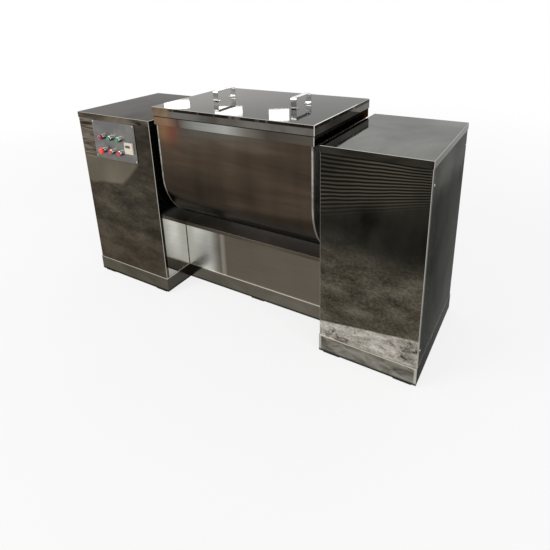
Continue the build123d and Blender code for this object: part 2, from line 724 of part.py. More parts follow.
def end_plate(x):
    """Flat end of the trough with the hole that the shaft passes."""
    with BuildPart() as plate:
        with BuildSketch(Plane.YZ.offset(x)):
            with BuildLine():
                Line((-TROUGH_RADIUS, shell_top), (-TROUGH_RADIUS, AXIS_HEIGHT))
                ThreePointArc(
                    (-TROUGH_RADIUS, AXIS_HEIGHT),
                    (0, AXIS_HEIGHT - TROUGH_RADIUS),
                    (TROUGH_RADIUS, AXIS_HEIGHT),
                )
                Polyline(
                    (TROUGH_RADIUS, AXIS_HEIGHT),
                    (TROUGH_RADIUS, shell_top),
                    (-TROUGH_RADIUS, shell_top),
                )
            make_face()
            with Locations((0, AXIS_HEIGHT)):
                Circle(TRUNNION_BORE / 2, mode=Mode.SUBTRACT)
        extrude(amount=END_PLATE)
    return plate


save(end_plate(trough_x0), "trough_left_end")
save(end_plate(shell_x1), "trough_right_end")

rim_outer_x = trough_length + 2 * rim_thickness
rim_outer_y = 2 * (TROUGH_RADIUS + rim_thickness)
with BuildPart() as trough_rim:
    with BuildSketch(Plane.XY.offset(rim_top - RIM_HEIGHT)):
        with Locations((bay_x, 0)):
            Rectangle(rim_outer_x, rim_outer_y)
            Rectangle(trough_length, 2 * TROUGH_RADIUS, mode=Mode.SUBTRACT)
    extrude(amount=RIM_HEIGHT)
    with BuildSketch(Plane.XY.offset(shell_top)) as lip:
        with Locations((bay_x, 0)):
            Rectangle(trough_length, 2 * TROUGH_RADIUS)
            Rectangle(shell_x1 - shell_x0, 2 * (TROUGH_RADIUS - TROUGH_SHEET), mode=Mode.SUBTRACT)
    extrude(lip.sketch, amount=RIM_LIP)
    chamfer(trough_rim.edges().filter_by(Axis.Z).group_by(SortBy.LENGTH)[-1], RIM_CHAMFER)
save(trough_rim, "trough_rim")

# Lift off lid with its gasket and two strap handles
lid_x = trough_length + 2 * LID_OVERHANG
lid_y = 2 * (TROUGH_RADIUS + LID_OVERHANG)
with BuildPart() as lid:
    with BuildSketch(Plane.XY.offset(lid_top - LID_SKIRT)):
        with Locations((bay_x, 0)):
            Rectangle(lid_x, lid_y)
    extrude(amount=LID_SKIRT)
    chamfer(lid.edges().filter_by(Axis.Z), FOLD_CHAMFER)
    chamfer(lid.faces().sort_by(Axis.Z)[-1].edges(), FOLD_CHAMFER)
    with BuildSketch(Plane.XY.offset(lid_top - LID_SKIRT)) as lid_hollow:
        with Locations((bay_x, 0)):
            Rectangle(lid_x - 2 * LID_SHEET, lid_y - 2 * LID_SHEET)
    extrude(lid_hollow.sketch, amount=LID_SKIRT - LID_SHEET, mode=Mode.SUBTRACT)
save(lid, "lid")

gasket_x = trough_length + 2 * (rim_thickness - GASKET_INSET)
gasket_y = 2 * (TROUGH_RADIUS + rim_thickness - GASKET_INSET)
with BuildPart() as lid_gasket:
    with BuildSketch(Plane.XY.offset(rim_top)):
        with Locations((bay_x, 0)):
            Rectangle(gasket_x, gasket_y)
            Rectangle(gasket_x - 2 * GASKET_WIDTH, gasket_y - 2 * GASKET_WIDTH, mode=Mode.SUBTRACT)
    extrude(amount=GASKET_HEIGHT)
save(lid_gasket, "lid_gasket")

with BuildPart() as lid_handles:
    for x in (bay_x - HANDLE_SPACING / 2, bay_x + HANDLE_SPACING / 2):
        half = HANDLE_LENGTH / 2
        with BuildSketch(Plane.YZ.offset(x - HANDLE_WIDTH / 2)):
            with BuildLine():
                FilletPolyline(
                    (-half + HANDLE_FOOT, lid_top),
                    (-half, lid_top),
                    (-half, lid_top + HANDLE_HEIGHT),
                    (half, lid_top + HANDLE_HEIGHT),
                    (half, lid_top),
                    (half - HANDLE_FOOT, lid_top),
                    radius=HANDLE_BEND,
                )
                offset(amount=HANDLE_STRAP, side=Side.RIGHT)
            make_face()
        extrude(amount=HANDLE_WIDTH)
save(lid_handles, "lid_handles")


def disc(x0, x1, diameter, bore=0.0):
    """Turned ring about the trough axis, from one X to another."""
    with BuildSketch(Plane.YZ.offset(x0)) as section:
        with Locations((0, AXIS_HEIGHT)):
            Circle(diameter / 2)
            if bore > 0:
                Circle(bore / 2, mode=Mode.SUBTRACT)
    extrude(section.sketch, amount=x1 - x0)


def housing(x0, x1, across, flats, bore):
    """Flange or housing with flats round a bore, from one X to another."""
    with BuildSketch(Plane.YZ.offset(x0)) as section:
        with Locations((0, AXIS_HEIGHT)):
            RegularPolygon(across / 2, flats, major_radius=False, rotation=180 / flats)
            Circle(bore / 2, mode=Mode.SUBTRACT)
    extrude(section.sketch, amount=x1 - x0)


# Hollow trunnions: a flange bolted to each end plate and a journal outside it
left_journal_end = left_bearing_x - BEARING_LENGTH - TRUNNION_OVERHANG
right_journal_end = gear_x + GEAR_WIDTH + TRUNNION_OVERHANG
left_flange_x = trough_x0 - TRUNNION_FLANGE_THICKNESS
right_flange_x = trough_x1 + TRUNNION_FLANGE_THICKNESS
with BuildPart() as trunnions:
    housing(trough_x0, left_flange_x, TRUNNION_FLANGE, 8, TRUNNION_BORE)
    disc(left_flange_x, left_journal_end, TRUNNION_DIAMETER, TRUNNION_BORE)
    housing(trough_x1, right_flange_x, TRUNNION_FLANGE, 8, TRUNNION_BORE)
    disc(right_flange_x, right_journal_end, TRUNNION_DIAMETER, TRUNNION_BORE)
save(trunnions, "trunnions")

with BuildPart() as trunnion_bolts:
    for flange_x, outward in ((left_flange_x, -1), (right_flange_x, 1)):
        with BuildSketch(Plane.YZ.offset(flange_x)) as bolt_heads:
            with Locations((0, AXIS_HEIGHT)):
                with PolarLocations(TRUNNION_BOLT_CIRCLE / 2, TRUNNION_BOLT_COUNT):
                    RegularPolygon(BOLT_HEAD_ACROSS / 2, 6, major_radius=False)
        extrude(bolt_heads.sketch, amount=outward * BOLT_HEAD_HEIGHT)
save(trunnion_bolts, "trunnion_bolts")

gland_bore = SHAFT_DIAMETER + 2 * RUNNING_CLEARANCE
with BuildPart() as shaft_glands:
    housing(shell_x0, shell_x0 + GLAND_THICKNESS, GLAND_WIDTH, 8, gland_bore)
    housing(shell_x1, shell_x1 - GLAND_THICKNESS, GLAND_WIDTH, 8, gland_bore)
save(shaft_glands, "shaft_glands")

# Plates and bearings that carry the trunnions inside the cabinets
support_top = AXIS_HEIGHT + SUPPORT_ABOVE_AXIS
with BuildPart() as support_plates:
    for x in (left_bearing_x, right_plate_x):
        with BuildSketch(Plane.YZ.offset(x)):
            with Locations((0, (rail_top + support_top) / 2)):
                Rectangle(2 * inner_y, support_top - rail_top)
            with Locations((0, AXIS_HEIGHT)):
                Circle(WALL_HOLE / 2, mode=Mode.SUBTRACT)
        extrude(amount=SUPPORT_PLATE)
save(support_plates, "support_plates")

journal_bore = TRUNNION_DIAMETER + 2 * RUNNING_CLEARANCE
with BuildPart() as trunnion_bearings:
    for x, outward in ((left_bearing_x, -1), (right_bearing_x, 1)):
        housing(x, x + outward * BEARING_FLANGE, BEARING_FLANGE_WIDTH, 4, journal_bore)
        housing(x + outward * BEARING_FLANGE, x + outward * BEARING_LENGTH, BEARING_HUB, 8, journal_bore)
save(trunnion_bearings, "trunnion_bearings")

# Ribbon agitator: outer and inner ribbons of opposite hand, mirrored at the middle
half_ribbon = shell_x1 - bay_x - RIBBON_END_GAP
ribbon_pitch = half_ribbon - RIBBON_TAIL
outer_radius = TROUGH_RADIUS - TROUGH_SHEET - RIBBON_CLEARANCE - RIBBON_WIDTH / 2
inner_radius = INNER_RIBBON_RADIUS - INNER_RIBBON_WIDTH / 2


def ribbon(radius, width, lefthand, phase):
    """Flat strip wound on a helix from the middle to one end, and its mirror image."""
    helix = Edge.make_helix(ribbon_pitch, half_ribbon, radius, (0, 0, 0), (1, 0, 0), 0, lefthand)
    start = helix.position_at(0)
    start_angle = math.degrees(math.atan2(start.Z, start.Y))
    with BuildPart() as strip:
        with BuildSketch(Plane(origin=start, x_dir=(0, start.Y, start.Z), z_dir=helix.tangent_at(0))):
            Rectangle(width, RIBBON_THICKNESS)
        sweep(path=helix, is_frenet=True)
    placed = strip.part.rotate(Axis.X, phase - start_angle)
    placed = placed.moved(Location((bay_x, 0, AXIS_HEIGHT)))
    with BuildPart() as whole:
        add(placed)
        add(placed.mirror(Plane.YZ.offset(bay_x)))
    return whole


save(ribbon(outer_radius, RIBBON_WIDTH, False, 0), "outer_ribbon")
save(ribbon(inner_radius, INNER_RIBBON_WIDTH, True, 180), "inner_ribbon")

spoke_pitch = ribbon_pitch / SPOKES_PER_TURN
shaft_r = SHAFT_DIAMETER / 2
outer_reach = outer_radius - RIBBON_WIDTH / 2 + SPOKE_BITE
inner_reach = inner_radius - INNER_RIBBON_WIDTH / 2 + SPOKE_BITE


def spoke_plane(station, angle):
    """Plane square to a spoke that starts on the middle of the shaft."""
    out = Vector(0, math.cos(math.radians(angle)), math.sin(math.radians(angle)))
    centre = Vector(bay_x + station * spoke_pitch, 0, AXIS_HEIGHT)
    return Plane(origin=centre, x_dir=(1, 0, 0), z_dir=out)


stations = range(-SPOKES_PER_TURN, SPOKES_PER_TURN + 1)
turn_step = 360 / SPOKES_PER_TURN
with BuildPart() as ribbon_spokes:
    for station in stations:
        angle = abs(station) * turn_step
        for spoke_angle, reach in ((angle, outer_reach), (180 - angle, inner_reach)):
            with BuildSketch(spoke_plane(station, spoke_angle)):
                Rectangle(SPOKE_WIDTH, SPOKE_THICKNESS)
            extrude(amount=reach)
save(ribbon_spokes, "ribbon_spokes")

with BuildPart() as agitator_shaft:
    disc(shaft_x0, shaft_x1, SHAFT_DIAMETER)
    chamfer(agitator_shaft.edges().filter_by(GeomType.CIRCLE), SHAFT_CHAMFER)
save(agitator_shaft, "agitator_shaft")

# Worm reducer that turns the agitator shaft, on its shelf
worm_end = REDUCER_WIDTH / 2 + WORM_COVER
with BuildPart() as main_reducer:
    with BuildSketch(Plane.YZ.offset(reducer_x0)):
        with Locations((0, AXIS_HEIGHT)):
            Circle(REDUCER_ABOVE_AXIS)
        with Locations((0, shelf_top + REDUCER_FOOT / 2)):
            Rectangle(REDUCER_WIDTH, REDUCER_FOOT)
        make_hull()
    extrude(amount=REDUCER_LENGTH)
    with BuildSketch(Plane.XZ.offset(-worm_end)) as worm_tube:
        with Locations((reducer_x, worm_z)):
            Rectangle(WORM_HOUSING, WORM_HOUSING)
    extrude(worm_tube.sketch, amount=2 * worm_end)
    with BuildSketch(Plane.YZ.offset(reducer_x0)) as bore:
        with Locations((0, AXIS_HEIGHT)):
            Circle(shaft_r + RUNNING_CLEARANCE)
    extrude(bore.sketch, amount=REDUCER_LENGTH, mode=Mode.SUBTRACT)
    with BuildSketch(Plane.XZ.offset(-worm_end)) as input_bore:
        with Locations((reducer_x, worm_z)):
            Circle(INPUT_SHAFT / 2 + RUNNING_CLEARANCE)
    extrude(input_bore.sketch, amount=BORE_DEPTH, mode=Mode.SUBTRACT)
save(main_reducer, "main_reducer")


def shelf(x_wall, x_end, y0, y1, top, drop):
    """Bracket: a shelf welded to a support plate with a gusset under each edge."""
    with BuildPart() as bracket:
        with BuildSketch(Plane.XY.offset(top - SHELF)):
            with Locations(((x_wall + x_end) / 2, (y0 + y1) / 2)):
                Rectangle(abs(x_end - x_wall), y1 - y0)
        extrude(amount=SHELF)
        reach = GUSSET_SHARE * (x_end - x_wall)
        for y in (y0 + SHELF, y1):
            with BuildSketch(Plane.XZ.offset(-y)) as gusset:
                with BuildLine():
                    Polyline(
                        (x_wall, top - SHELF),
                        (x_wall + reach, top - SHELF),
                        (x_wall, top - SHELF - drop),
                        close=True,
                    )
                make_face()
            extrude(gusset.sketch, amount=SHELF)
    return bracket


shelf_x = reducer_x0 - SHELF_MARGIN
shelf_y = REDUCER_WIDTH / 2 + SHELF_MARGIN
reducer_shelf = shelf(left_bearing_x, shelf_x, -shelf_y, shelf_y, shelf_top, REDUCER_GUSSET)
save(reducer_shelf, "reducer_bracket")

# Main motor with fins, feet and terminal box, its axis along Y
motor_r = MOTOR_DIAMETER / 2
motor_back = motor_front - MOTOR_LENGTH


def along_y(x, z, y0, y1, radius, mode=Mode.ADD):
    """Round bar along Y between two depths."""
    with BuildSketch(Plane.XZ.offset(-y0)) as section:
        with Locations((x, z)):
            Circle(radius)
    extrude(section.sketch, amount=y0 - y1, mode=mode)


def ribbed_body(x, z, y0, y1, across, slot):
    """Square motor body with cut corners and cooling slots along its two sides."""
    with BuildSketch(Plane.XZ.offset(-y0)) as section:
        with Locations((x, z)):
            Rectangle(across, across)
            chamfer(section.vertices(), across / 5)
            with GridLocations(across, 2 * slot, 2, 4):
                Rectangle(2 * slot, slot, mode=Mode.SUBTRACT)
    extrude(section.sketch, amount=y0 - y1)


with BuildPart() as main_motor:
    cowl_end = motor_back + FAN_COWL
    ribbed_body(motor_x, motor_z, cowl_end, motor_front, MOTOR_DIAMETER - 2 * FIN_HEIGHT, FIN_SLOT)
    along_y(motor_x, motor_z, motor_back, cowl_end, motor_r)
    foot_y = (cowl_end + motor_front) / 2
    for side in (-1, 1):
        with BuildSketch(Plane.XY.offset(rail_top)) as feet:
            with Locations((motor_x + side * MOTOR_RAIL_SPACING / 2, foot_y)):
                Rectangle(TUBE, MOTOR_FOOT_LENGTH)
        extrude(feet.sketch, amount=MOTOR_FOOT_HEIGHT)
        with BuildSketch(Plane.XY.offset(rail_top)) as leg:
            with Locations((motor_x + side * (MOTOR_RAIL_SPACING / 2 - MOTOR_LEG), foot_y)):
                Rectangle(MOTOR_LEG, MOTOR_FOOT_LENGTH - 2 * MOTOR_LEG)
        extrude(leg.sketch, amount=MOTOR_SHAFT_HEIGHT / 2)
    box_seat = motor_z + motor_r - FIN_HEIGHT - MOTOR_LEG
    with BuildSketch(Plane.XY.offset(box_seat)) as terminal_box:
        with Locations((motor_x, foot_y)):
            Rectangle(TERMINAL_BOX, TERMINAL_BOX)
    extrude(terminal_box.sketch, amount=TERMINAL_BOX / 2)
    shaft_bore_r = INPUT_SHAFT / 2 + RUNNING_CLEARANCE
    along_y(motor_x, motor_z, motor_front, motor_front - BORE_DEPTH, shaft_bore_r, Mode.SUBTRACT)
save(main_motor, "main_motor")

# Pulleys and the flat belt between motor and reducer
belt_half = PULLEY_WIDTH / 2 - BELT_INSET


def pulley(x, z, diameter, shaft_start):
    """Flat belt pulley and the shaft end that carries it."""
    tread = diameter / 2 - BELT_HEIGHT
    y0 = BELT_PLANE - PULLEY_WIDTH / 2
    y1 = BELT_PLANE + PULLEY_WIDTH / 2
    outline = [
        (0, shaft_start),
        (INPUT_SHAFT / 2, shaft_start),
        (INPUT_SHAFT / 2, y0),
        (tread, y0),
        (tread, y1),
        (0, y1),
    ]
    return turned(x, z, outline)


save(pulley(motor_x, motor_z, MOTOR_PULLEY_DIAMETER, motor_front - SHAFT_DEPTH), "motor_pulley")
save(pulley(reducer_x, worm_z, REDUCER_PULLEY_DIAMETER, worm_end - SHAFT_DEPTH), "reducer_pulley")

with BuildPart() as drive_belt:
    with BuildSketch(Plane.XZ.offset(-(BELT_PLANE - belt_half))) as outer_loop:
        with Locations((motor_x, motor_z)):
            Circle(MOTOR_PULLEY_DIAMETER / 2)
        with Locations((reducer_x, worm_z)):
            Circle(REDUCER_PULLEY_DIAMETER / 2)
        make_hull()
    extrude(outer_loop.sketch, amount=-2 * belt_half)
    with BuildSketch(Plane.XZ.offset(-(BELT_PLANE - belt_half))) as inner_loop:
        with Locations((motor_x, motor_z)):
            Circle(MOTOR_PULLEY_DIAMETER / 2 - BELT_HEIGHT + BELT_CLEARANCE)
        with Locations((reducer_x, worm_z)):
            Circle(REDUCER_PULLEY_DIAMETER / 2 - BELT_HEIGHT + BELT_CLEARANCE)
        make_hull()
    extrude(inner_loop.sketch, amount=-2 * belt_half, mode=Mode.SUBTRACT)
save(drive_belt, "drive_belt")


def gear(teeth, y, z, x, width, start_angle, cut=0, bore=0.0):
    """Spur gear or toothed sector about X, each involute flank drawn through three points."""
    pitch_r = GEAR_MODULE * teeth / 2
    base_r = pitch_r * math.cos(math.radians(PRESSURE_ANGLE))
    tip_r = pitch_r + TOOTH_ADDENDUM * GEAR_MODULE
    root_r = pitch_r - TOOTH_DEDENDUM * GEAR_MODULE
    pressure = math.radians(PRESSURE_ANGLE)
    half_pitch = math.pi / (2 * teeth) - GEAR_BACKLASH / (4 * pitch_r)

    def flank(radius):
        spread = math.acos(min(1.0, base_r / radius))
        half = half_pitch + math.tan(pressure) - pressure - math.tan(spread) + spread
        return (radius * math.cos(half), radius * math.sin(half))

    low_r = max(base_r, root_r)
    low = flank(low_r)
    middle = flank((low_r + tip_r) / 2)
    high = flank(tip_r)
    foot_scale = (root_r - TOOTH_SINK) / low_r
    foot = (low[0] * foot_scale, low[1] * foot_scale)
    upper = [foot, low, middle, high]
    lower = [(r, -t) for r, t in reversed(upper)]
    with BuildSketch() as tooth:
        with BuildLine():
            Polyline(*upper, *lower, close=True)
        make_face()
    with BuildPart() as wheel:
        with BuildSketch(Plane.YZ.offset(x)):
            with Locations((y, z)):
                Circle(root_r)
                if cut > 0:
                    steps = (-0.5, cut / 2 - 0.5, cut - 0.5)
                    turns = [math.radians(start_angle + step * 360 / teeth) for step in steps]
                    reach = WEDGE_REACH * root_r
                    wedge = [(reach * math.cos(turn), reach * math.sin(turn)) for turn in turns]
                    Polygon((0, 0), *wedge, align=None, mode=Mode.INTERSECT)
                    Circle(bore / 2 + GEAR_HUB_WALL)
                with PolarLocations(0, cut or teeth, start_angle, (cut or teeth) * 360 / teeth):
                    add(tooth.sketch)
                if bore > 0:
                    Circle(bore / 2, mode=Mode.SUBTRACT)
        extrude(amount=width)
    return wheel


# Tilt drive: toothed sector on the right trunnion, pinion, gearbox, motor and bracket
mesh_angle = 270 - PINION_ANGLE
sector_start = mesh_angle + (180 - SECTOR_LEAD * 360) / GEAR_TEETH
sector = gear(
    GEAR_TEETH, 0, AXIS_HEIGHT, gear_x, GEAR_WIDTH, sector_start, SECTOR_TEETH, TRUNNION_DIAMETER
)
save(sector, "tilt_gear")
pinion_x = gear_x + (GEAR_WIDTH - PINION_WIDTH) / 2
pinion = gear(PINION_TEETH, pinion_y, pinion_z, pinion_x, PINION_WIDTH, mesh_angle - 180)
with pinion:
    with BuildSketch(Plane.YZ.offset(pinion_x + PINION_WIDTH)) as pinion_shaft:
        with Locations((pinion_y, pinion_z)):
            Circle(PINION_SHAFT / 2)
    extrude(pinion_shaft.sketch, amount=gearbox_x0 + PINION_SHAFT_DEPTH - pinion_x - PINION_WIDTH)
save(pinion, "tilt_pinion")

gearbox_side_y = pinion_y + GEARBOX_SIDE / 2
with BuildPart() as tilt_gearbox:
    with BuildSketch(Plane.YZ.offset(gearbox_x0)):
        with Locations((pinion_y, pinion_z)):
            Rectangle(GEARBOX_SIDE, GEARBOX_SIDE)
    extrude(amount=GEARBOX_LENGTH)
    with BuildSketch(Plane.YZ.offset(gearbox_x0)) as boss:
        with Locations((pinion_y, pinion_z)):
            Circle(PINION_SHAFT)
    extrude(boss.sketch, amount=-GEARBOX_BOSS)
    with BuildSketch(Plane.YZ.offset(gearbox_x0 - GEARBOX_BOSS)) as shaft_bore:
        with Locations((pinion_y, pinion_z)):
            Circle(PINION_SHAFT / 2 + RUNNING_CLEARANCE)
    extrude(shaft_bore.sketch, amount=GEARBOX_BOSS + PINION_BORE_DEPTH, mode=Mode.SUBTRACT)
save(tilt_gearbox, "tilt_gearbox")

tilt_motor_x = gearbox_x0 + GEARBOX_LENGTH / 2
tilt_motor_z = pinion_z - GEARBOX_SIDE / 2 + TILT_MOTOR_WIDTH / 2 + TILT_MOTOR_LIFT
with BuildPart() as tilt_motor:
    tilt_end = gearbox_side_y + TILT_MOTOR_LENGTH
    ribbed_body(tilt_motor_x, tilt_motor_z, gearbox_side_y, tilt_end, TILT_MOTOR_WIDTH, FIN_SLOT / 2)
save(tilt_motor, "tilt_motor")

tilt_shelf_top = pinion_z - GEARBOX_SIDE / 2
tilt_shelf = shelf(
    right_bearing_x,
    gearbox_x0 + GEARBOX_LENGTH + 2 * SHELF_MARGIN,
    gearbox_side_y - GEARBOX_SIDE - SHELF_MARGIN,
    gearbox_side_y - TILT_MOTOR_LIFT,
    tilt_shelf_top,
    TILT_GUSSET,
)
save(tilt_shelf, "tilt_bracket")

# End bearing of the agitator shaft in the right cabinet
with BuildPart() as end_bearing_bracket:
    with BuildSketch(Plane.YZ.offset(end_bracket_x)):
        with Locations((0, AXIS_HEIGHT)):
            Rectangle(2 * inner_y, END_BRACKET_HEIGHT)
            Circle(SHAFT_DIAMETER / 2 + END_BRACKET_GAP, mode=Mode.SUBTRACT)
    extrude(amount=END_BRACKET)
save(end_bearing_bracket, "end_bearing_bracket")

with BuildPart() as agitator_end_bearing:
    housing(end_bearing_x, end_bearing_x + END_BEARING_LENGTH, END_BEARING_WIDTH, 8, gland_bore)
save(agitator_end_bearing, "agitator_end_bearing")
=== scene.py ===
"""Looks of a tilting trough ribbon blender in polished stainless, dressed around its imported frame."""

import math

import bmesh
import bpy
from mathutils import Matrix, Vector


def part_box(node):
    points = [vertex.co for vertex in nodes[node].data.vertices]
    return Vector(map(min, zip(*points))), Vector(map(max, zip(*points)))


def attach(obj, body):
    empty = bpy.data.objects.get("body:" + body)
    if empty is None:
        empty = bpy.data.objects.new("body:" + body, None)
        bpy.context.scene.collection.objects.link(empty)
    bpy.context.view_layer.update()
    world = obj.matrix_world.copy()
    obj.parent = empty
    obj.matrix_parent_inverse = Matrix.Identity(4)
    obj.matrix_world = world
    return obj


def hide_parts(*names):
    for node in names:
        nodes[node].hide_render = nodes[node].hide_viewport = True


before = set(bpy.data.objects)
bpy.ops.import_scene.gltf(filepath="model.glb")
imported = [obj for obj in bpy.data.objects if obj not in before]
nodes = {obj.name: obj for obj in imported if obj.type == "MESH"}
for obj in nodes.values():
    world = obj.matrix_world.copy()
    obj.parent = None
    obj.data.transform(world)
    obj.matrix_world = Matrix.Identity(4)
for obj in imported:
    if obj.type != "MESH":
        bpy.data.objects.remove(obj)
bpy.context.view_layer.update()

# Camera, solved from the straight edges of the photograph
CAMERA_PLACE = Vector((1.3184, -1.8972, 1.5275))
CAMERA_RIGHT = Vector((0.85496, 0.51798, -0.02701))
CAMERA_UP = Vector((-0.14866, 0.29460, 0.94399))
LENS = 30.451
SENSOR = 36.0
SHIFT_X = -0.00786
SHIFT_Y = -0.19597

# Light levels
SKY_SEEN = 1.0
SKY_GIVEN = 0.55
FLOOR_GLOW = 0.80
FLOOR_HALF = 60.0
FLOOR_FADE = (1.6, 6.0)

# Soft boxes round the machine: name, place, width, height and power
LAMPS = [("key", (-2.8, -4.2, 3.6), 2.4, 2.0, 130),
         ("fill", (4.6, -2.4, 2.6), 2.0, 2.0, 60),
         ("back", (0.5, 4.2, 3.4), 3.0, 1.2, 26)]
LAMP_TARGET = (0, 0, 0.6)

# Roof windows whose images lie on the lid: name, place on the lid, width and height of the lamp
WINDOW_GLOW = 5.0
WINDOWS = [("window_left", (-0.303, -0.221), 0.245, 0.082),
           ("window_middle", (0.026, -0.235), 0.250, 0.079),
           ("window_right", (0.280, -0.209), 0.175, 0.096)]

FRONT = Vector((0, -1, 0))
UPWARD = Vector((0, 0, 1))


def srgb(red, green, blue):
    """A colour as it looks on a screen, 0 to 255, in the linear numbers that shaders take."""
    def linear(value):
        value /= 255
        return value / 12.92 if value <= 0.04045 else ((value + 0.055) / 1.055) ** 2.4

    return (linear(red), linear(green), linear(blue), 1.0)


class Finish:
    """A material built node by node round one Principled shader."""

    def __init__(self, name, **sockets):
        self.material = bpy.data.materials.new(name)
        self.material.use_nodes = True
        self.tree = self.material.node_tree
        self.shader = self.tree.nodes["Principled BSDF"]
        for socket, value in sockets.items():
            self.shader.inputs[socket.replace("_", " ").title().replace("Ior", "IOR")].default_value = value
        place = self.add("ShaderNodeTexCoord")
        self.place = place.outputs["Object"]
        self.facing = place.outputs["Normal"]

    def add(self, kind, **settings):
        node = self.tree.nodes.new(kind)
        for setting, value in settings.items():
            setattr(node, setting, value)
        return node

    def join(self, source, target):
        if isinstance(source, (int, float, tuple)):
            target.default_value = source
        else:
            self.tree.links.new(source, target)

    def axis(self, letter, vector=None):
        """One coordinate of the place on the object, in metres, or of another vector."""
        split = self.add("ShaderNodeSeparateXYZ")
        self.join(vector or self.place, split.inputs[0])
        return split.outputs[letter]

    def span(self, value, low, high, smooth=True):
        """0 where the value is at low or less, 1 where it is at high or more."""
        node = self.add("ShaderNodeMapRange", interpolation_type="SMOOTHSTEP" if smooth else "LINEAR")
        self.join(value, node.inputs["Value"])
        node.inputs["From Min"].default_value = low
        node.inputs["From Max"].default_value = high
        return node.outputs["Result"]

    def fold(self):
        """1 on bends and cut corners, 0 on faces that are square to the machine."""
        split = self.add("ShaderNodeSeparateXYZ")
        self.join(self.facing, split.inputs[0])
        across, depth, level = (self.sum("ABSOLUTE", split.outputs[letter]) for letter in "XYZ")
        squarest = self.sum("MAXIMUM", self.sum("MAXIMUM", across, depth), level)
        return self.span(squarest, 0.99, 0.93)

    def upward(self):
        """1 on faces that look up, 0 on upright ones."""
        return self.span(self.axis("Z", self.facing), 0.4, 0.9)

    def noise(self, scale, detail=3.0, stretch=(1, 1, 1), warp=0.0, rough=0.5):
        """Soft cloud of about 0 to 1. stretch squeezes it along an axis."""
        mapping = self.add("ShaderNodeMapping")
        self.join(self.place, mapping.inputs["Vector"])
        mapping.inputs["Scale"].default_value = stretch
        node = self.add("ShaderNodeTexNoise")
        self.join(mapping.outputs[0], node.inputs["Vector"])
        node.inputs["Scale"].default_value = scale
        node.inputs["Detail"].default_value = detail
        node.inputs["Roughness"].default_value = rough
        node.inputs["Distortion"].default_value = warp
        return node.outputs["Fac"]

    def sum(self, operation, first, second=0.0):
        node = self.add("ShaderNodeMath", operation=operation)
        self.join(first, node.inputs[0])
        self.join(second, node.inputs[1])
        return node.outputs[0]

    def plus(self, first, second):
        return self.sum("ADD", first, second)

    def minus(self, first, second):
        return self.sum("SUBTRACT", first, second)

    def times(self, first, second):
        return self.sum("MULTIPLY", first, second)

    def blend(self, share, first, second, kind="MIX"):
        node = self.add("ShaderNodeMix", data_type="RGBA", blend_type=kind)
        self.join(share, node.inputs["Factor"])
        self.join(first, node.inputs[6])
        self.join(second, node.inputs[7])
        return node.outputs[2]

    def tones(self, value, stops):
        """Colours along a value, as (position, colour) pairs."""
        ramp = self.add("ShaderNodeValToRGB")
        elements = ramp.color_ramp.elements
        while len(elements) < len(stops):
            elements.new(0.5)
        for element, (position, colour) in zip(elements, stops):
            element.position = position
            element.color = colour
        self.join(value, ramp.inputs[0])
        return ramp.outputs[0]

    def pair(self, value, dark, light, low=0.3, high=0.7):
        """Two colours along a value."""
        return self.tones(value, [(low, dark), (high, light)])

    def shaded(self, colour, shade):
        """A colour multiplied by another."""
        return self.blend(1.0, colour, shade, "MULTIPLY")

    def edges(self, radius):
        """1 along the folded and cut edges, 0 on the flats."""
        rounded = self.add("ShaderNodeBevel", samples=6)
        rounded.inputs["Radius"].default_value = radius
        flat = self.add("ShaderNodeNewGeometry")
        dot = self.add("ShaderNodeVectorMath", operation="DOT_PRODUCT")
        self.join(rounded.outputs[0], dot.inputs[0])
        self.join(flat.outputs["Normal"], dot.inputs[1])
        return self.span(dot.outputs["Value"], 0.995, 0.80)

    def colour(self, source):
        self.join(source, self.shader.inputs["Base Color"])

    def roughness(self, value, low, high):
        node = self.add("ShaderNodeMapRange")
        self.join(value, node.inputs["Value"])
        node.inputs["To Min"].default_value = low
        node.inputs["To Max"].default_value = high
        self.join(node.outputs["Result"], self.shader.inputs["Roughness"])

    def bump(self, *layers):
        """Relief from (height, depth in metres) pairs, one on the other."""
        normal = None
        for height, depth in layers:
            node = self.add("ShaderNodeBump")
            node.inputs["Distance"].default_value = depth
            node.inputs["Strength"].default_value = 1.0
            self.join(height, node.inputs["Height"])
            if normal:
                self.join(normal, node.inputs["Normal"])
            normal = node.outputs[0]
        self.join(normal, self.shader.inputs["Normal"])


# Grain directions of rolled sheet: squeezed across the grain, long along it
GRAIN_X = (0.02, 1, 1)
GRAIN_Y = (1, 0.02, 1)
GRAIN_Z = (1, 1, 0.02)
GRAIN_DEPTH = 0.00002

# Edges of pieces that the colours are measured from, in metres
LID_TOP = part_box("lid")[1][2]
BAY_PANEL_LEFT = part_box("bay_front_panel")[0][0]
RIGHT_FRONT_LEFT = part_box("right_front_panel")[0][0]
PLINTH_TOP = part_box("plinth")[1][2]
PLINTH_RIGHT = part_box("plinth")[1][0]

# Here and below, a pair of places is where a change of colour starts and where it is complete.
# Left front, all painted reflection, from the top: bands, a field whose right end is a slanted line, a foot
BANDS_RIGHT = (-0.60, -0.54)
BANDS_END = (0.815, 0.795)
FIELD_SLANT = 0.9
FIELD_RIGHT = (-1.29, -1.25)
BESIDE_FIELD = (0.74, 0.84)
FIELD_END = (0.665, 0.645)
BROWN_FOOT = (0.42, 0.22)

# Right front, all painted reflection, from the top: ripples that fan out, a dark middle, ground, a foot that
# slopes
RIPPLE_FALL = 0.97
RIPPLE_REACH = 1.0
RIPPLE_PITCH = 0.0185
RIPPLE_CREST = (-0.8, 1.4)
RIPPLES_END = (0.68, 0.80)
GROUND_START = (0.72, 0.50)
FOOT_START = (0.176, 0.168)
FOOT_SLOPE = 0.13

# Inner walls: heights of the bright painted reflection and of its foot, then depths of its back and of its
# painted edge highlight
WALL_REFLECTION = (0.50, 0.46)
WALL_FOOT = (0.10, 0.30)
WALL_BACK = (-0.24, -0.14)
WALL_EDGE = (-0.294, -0.303)
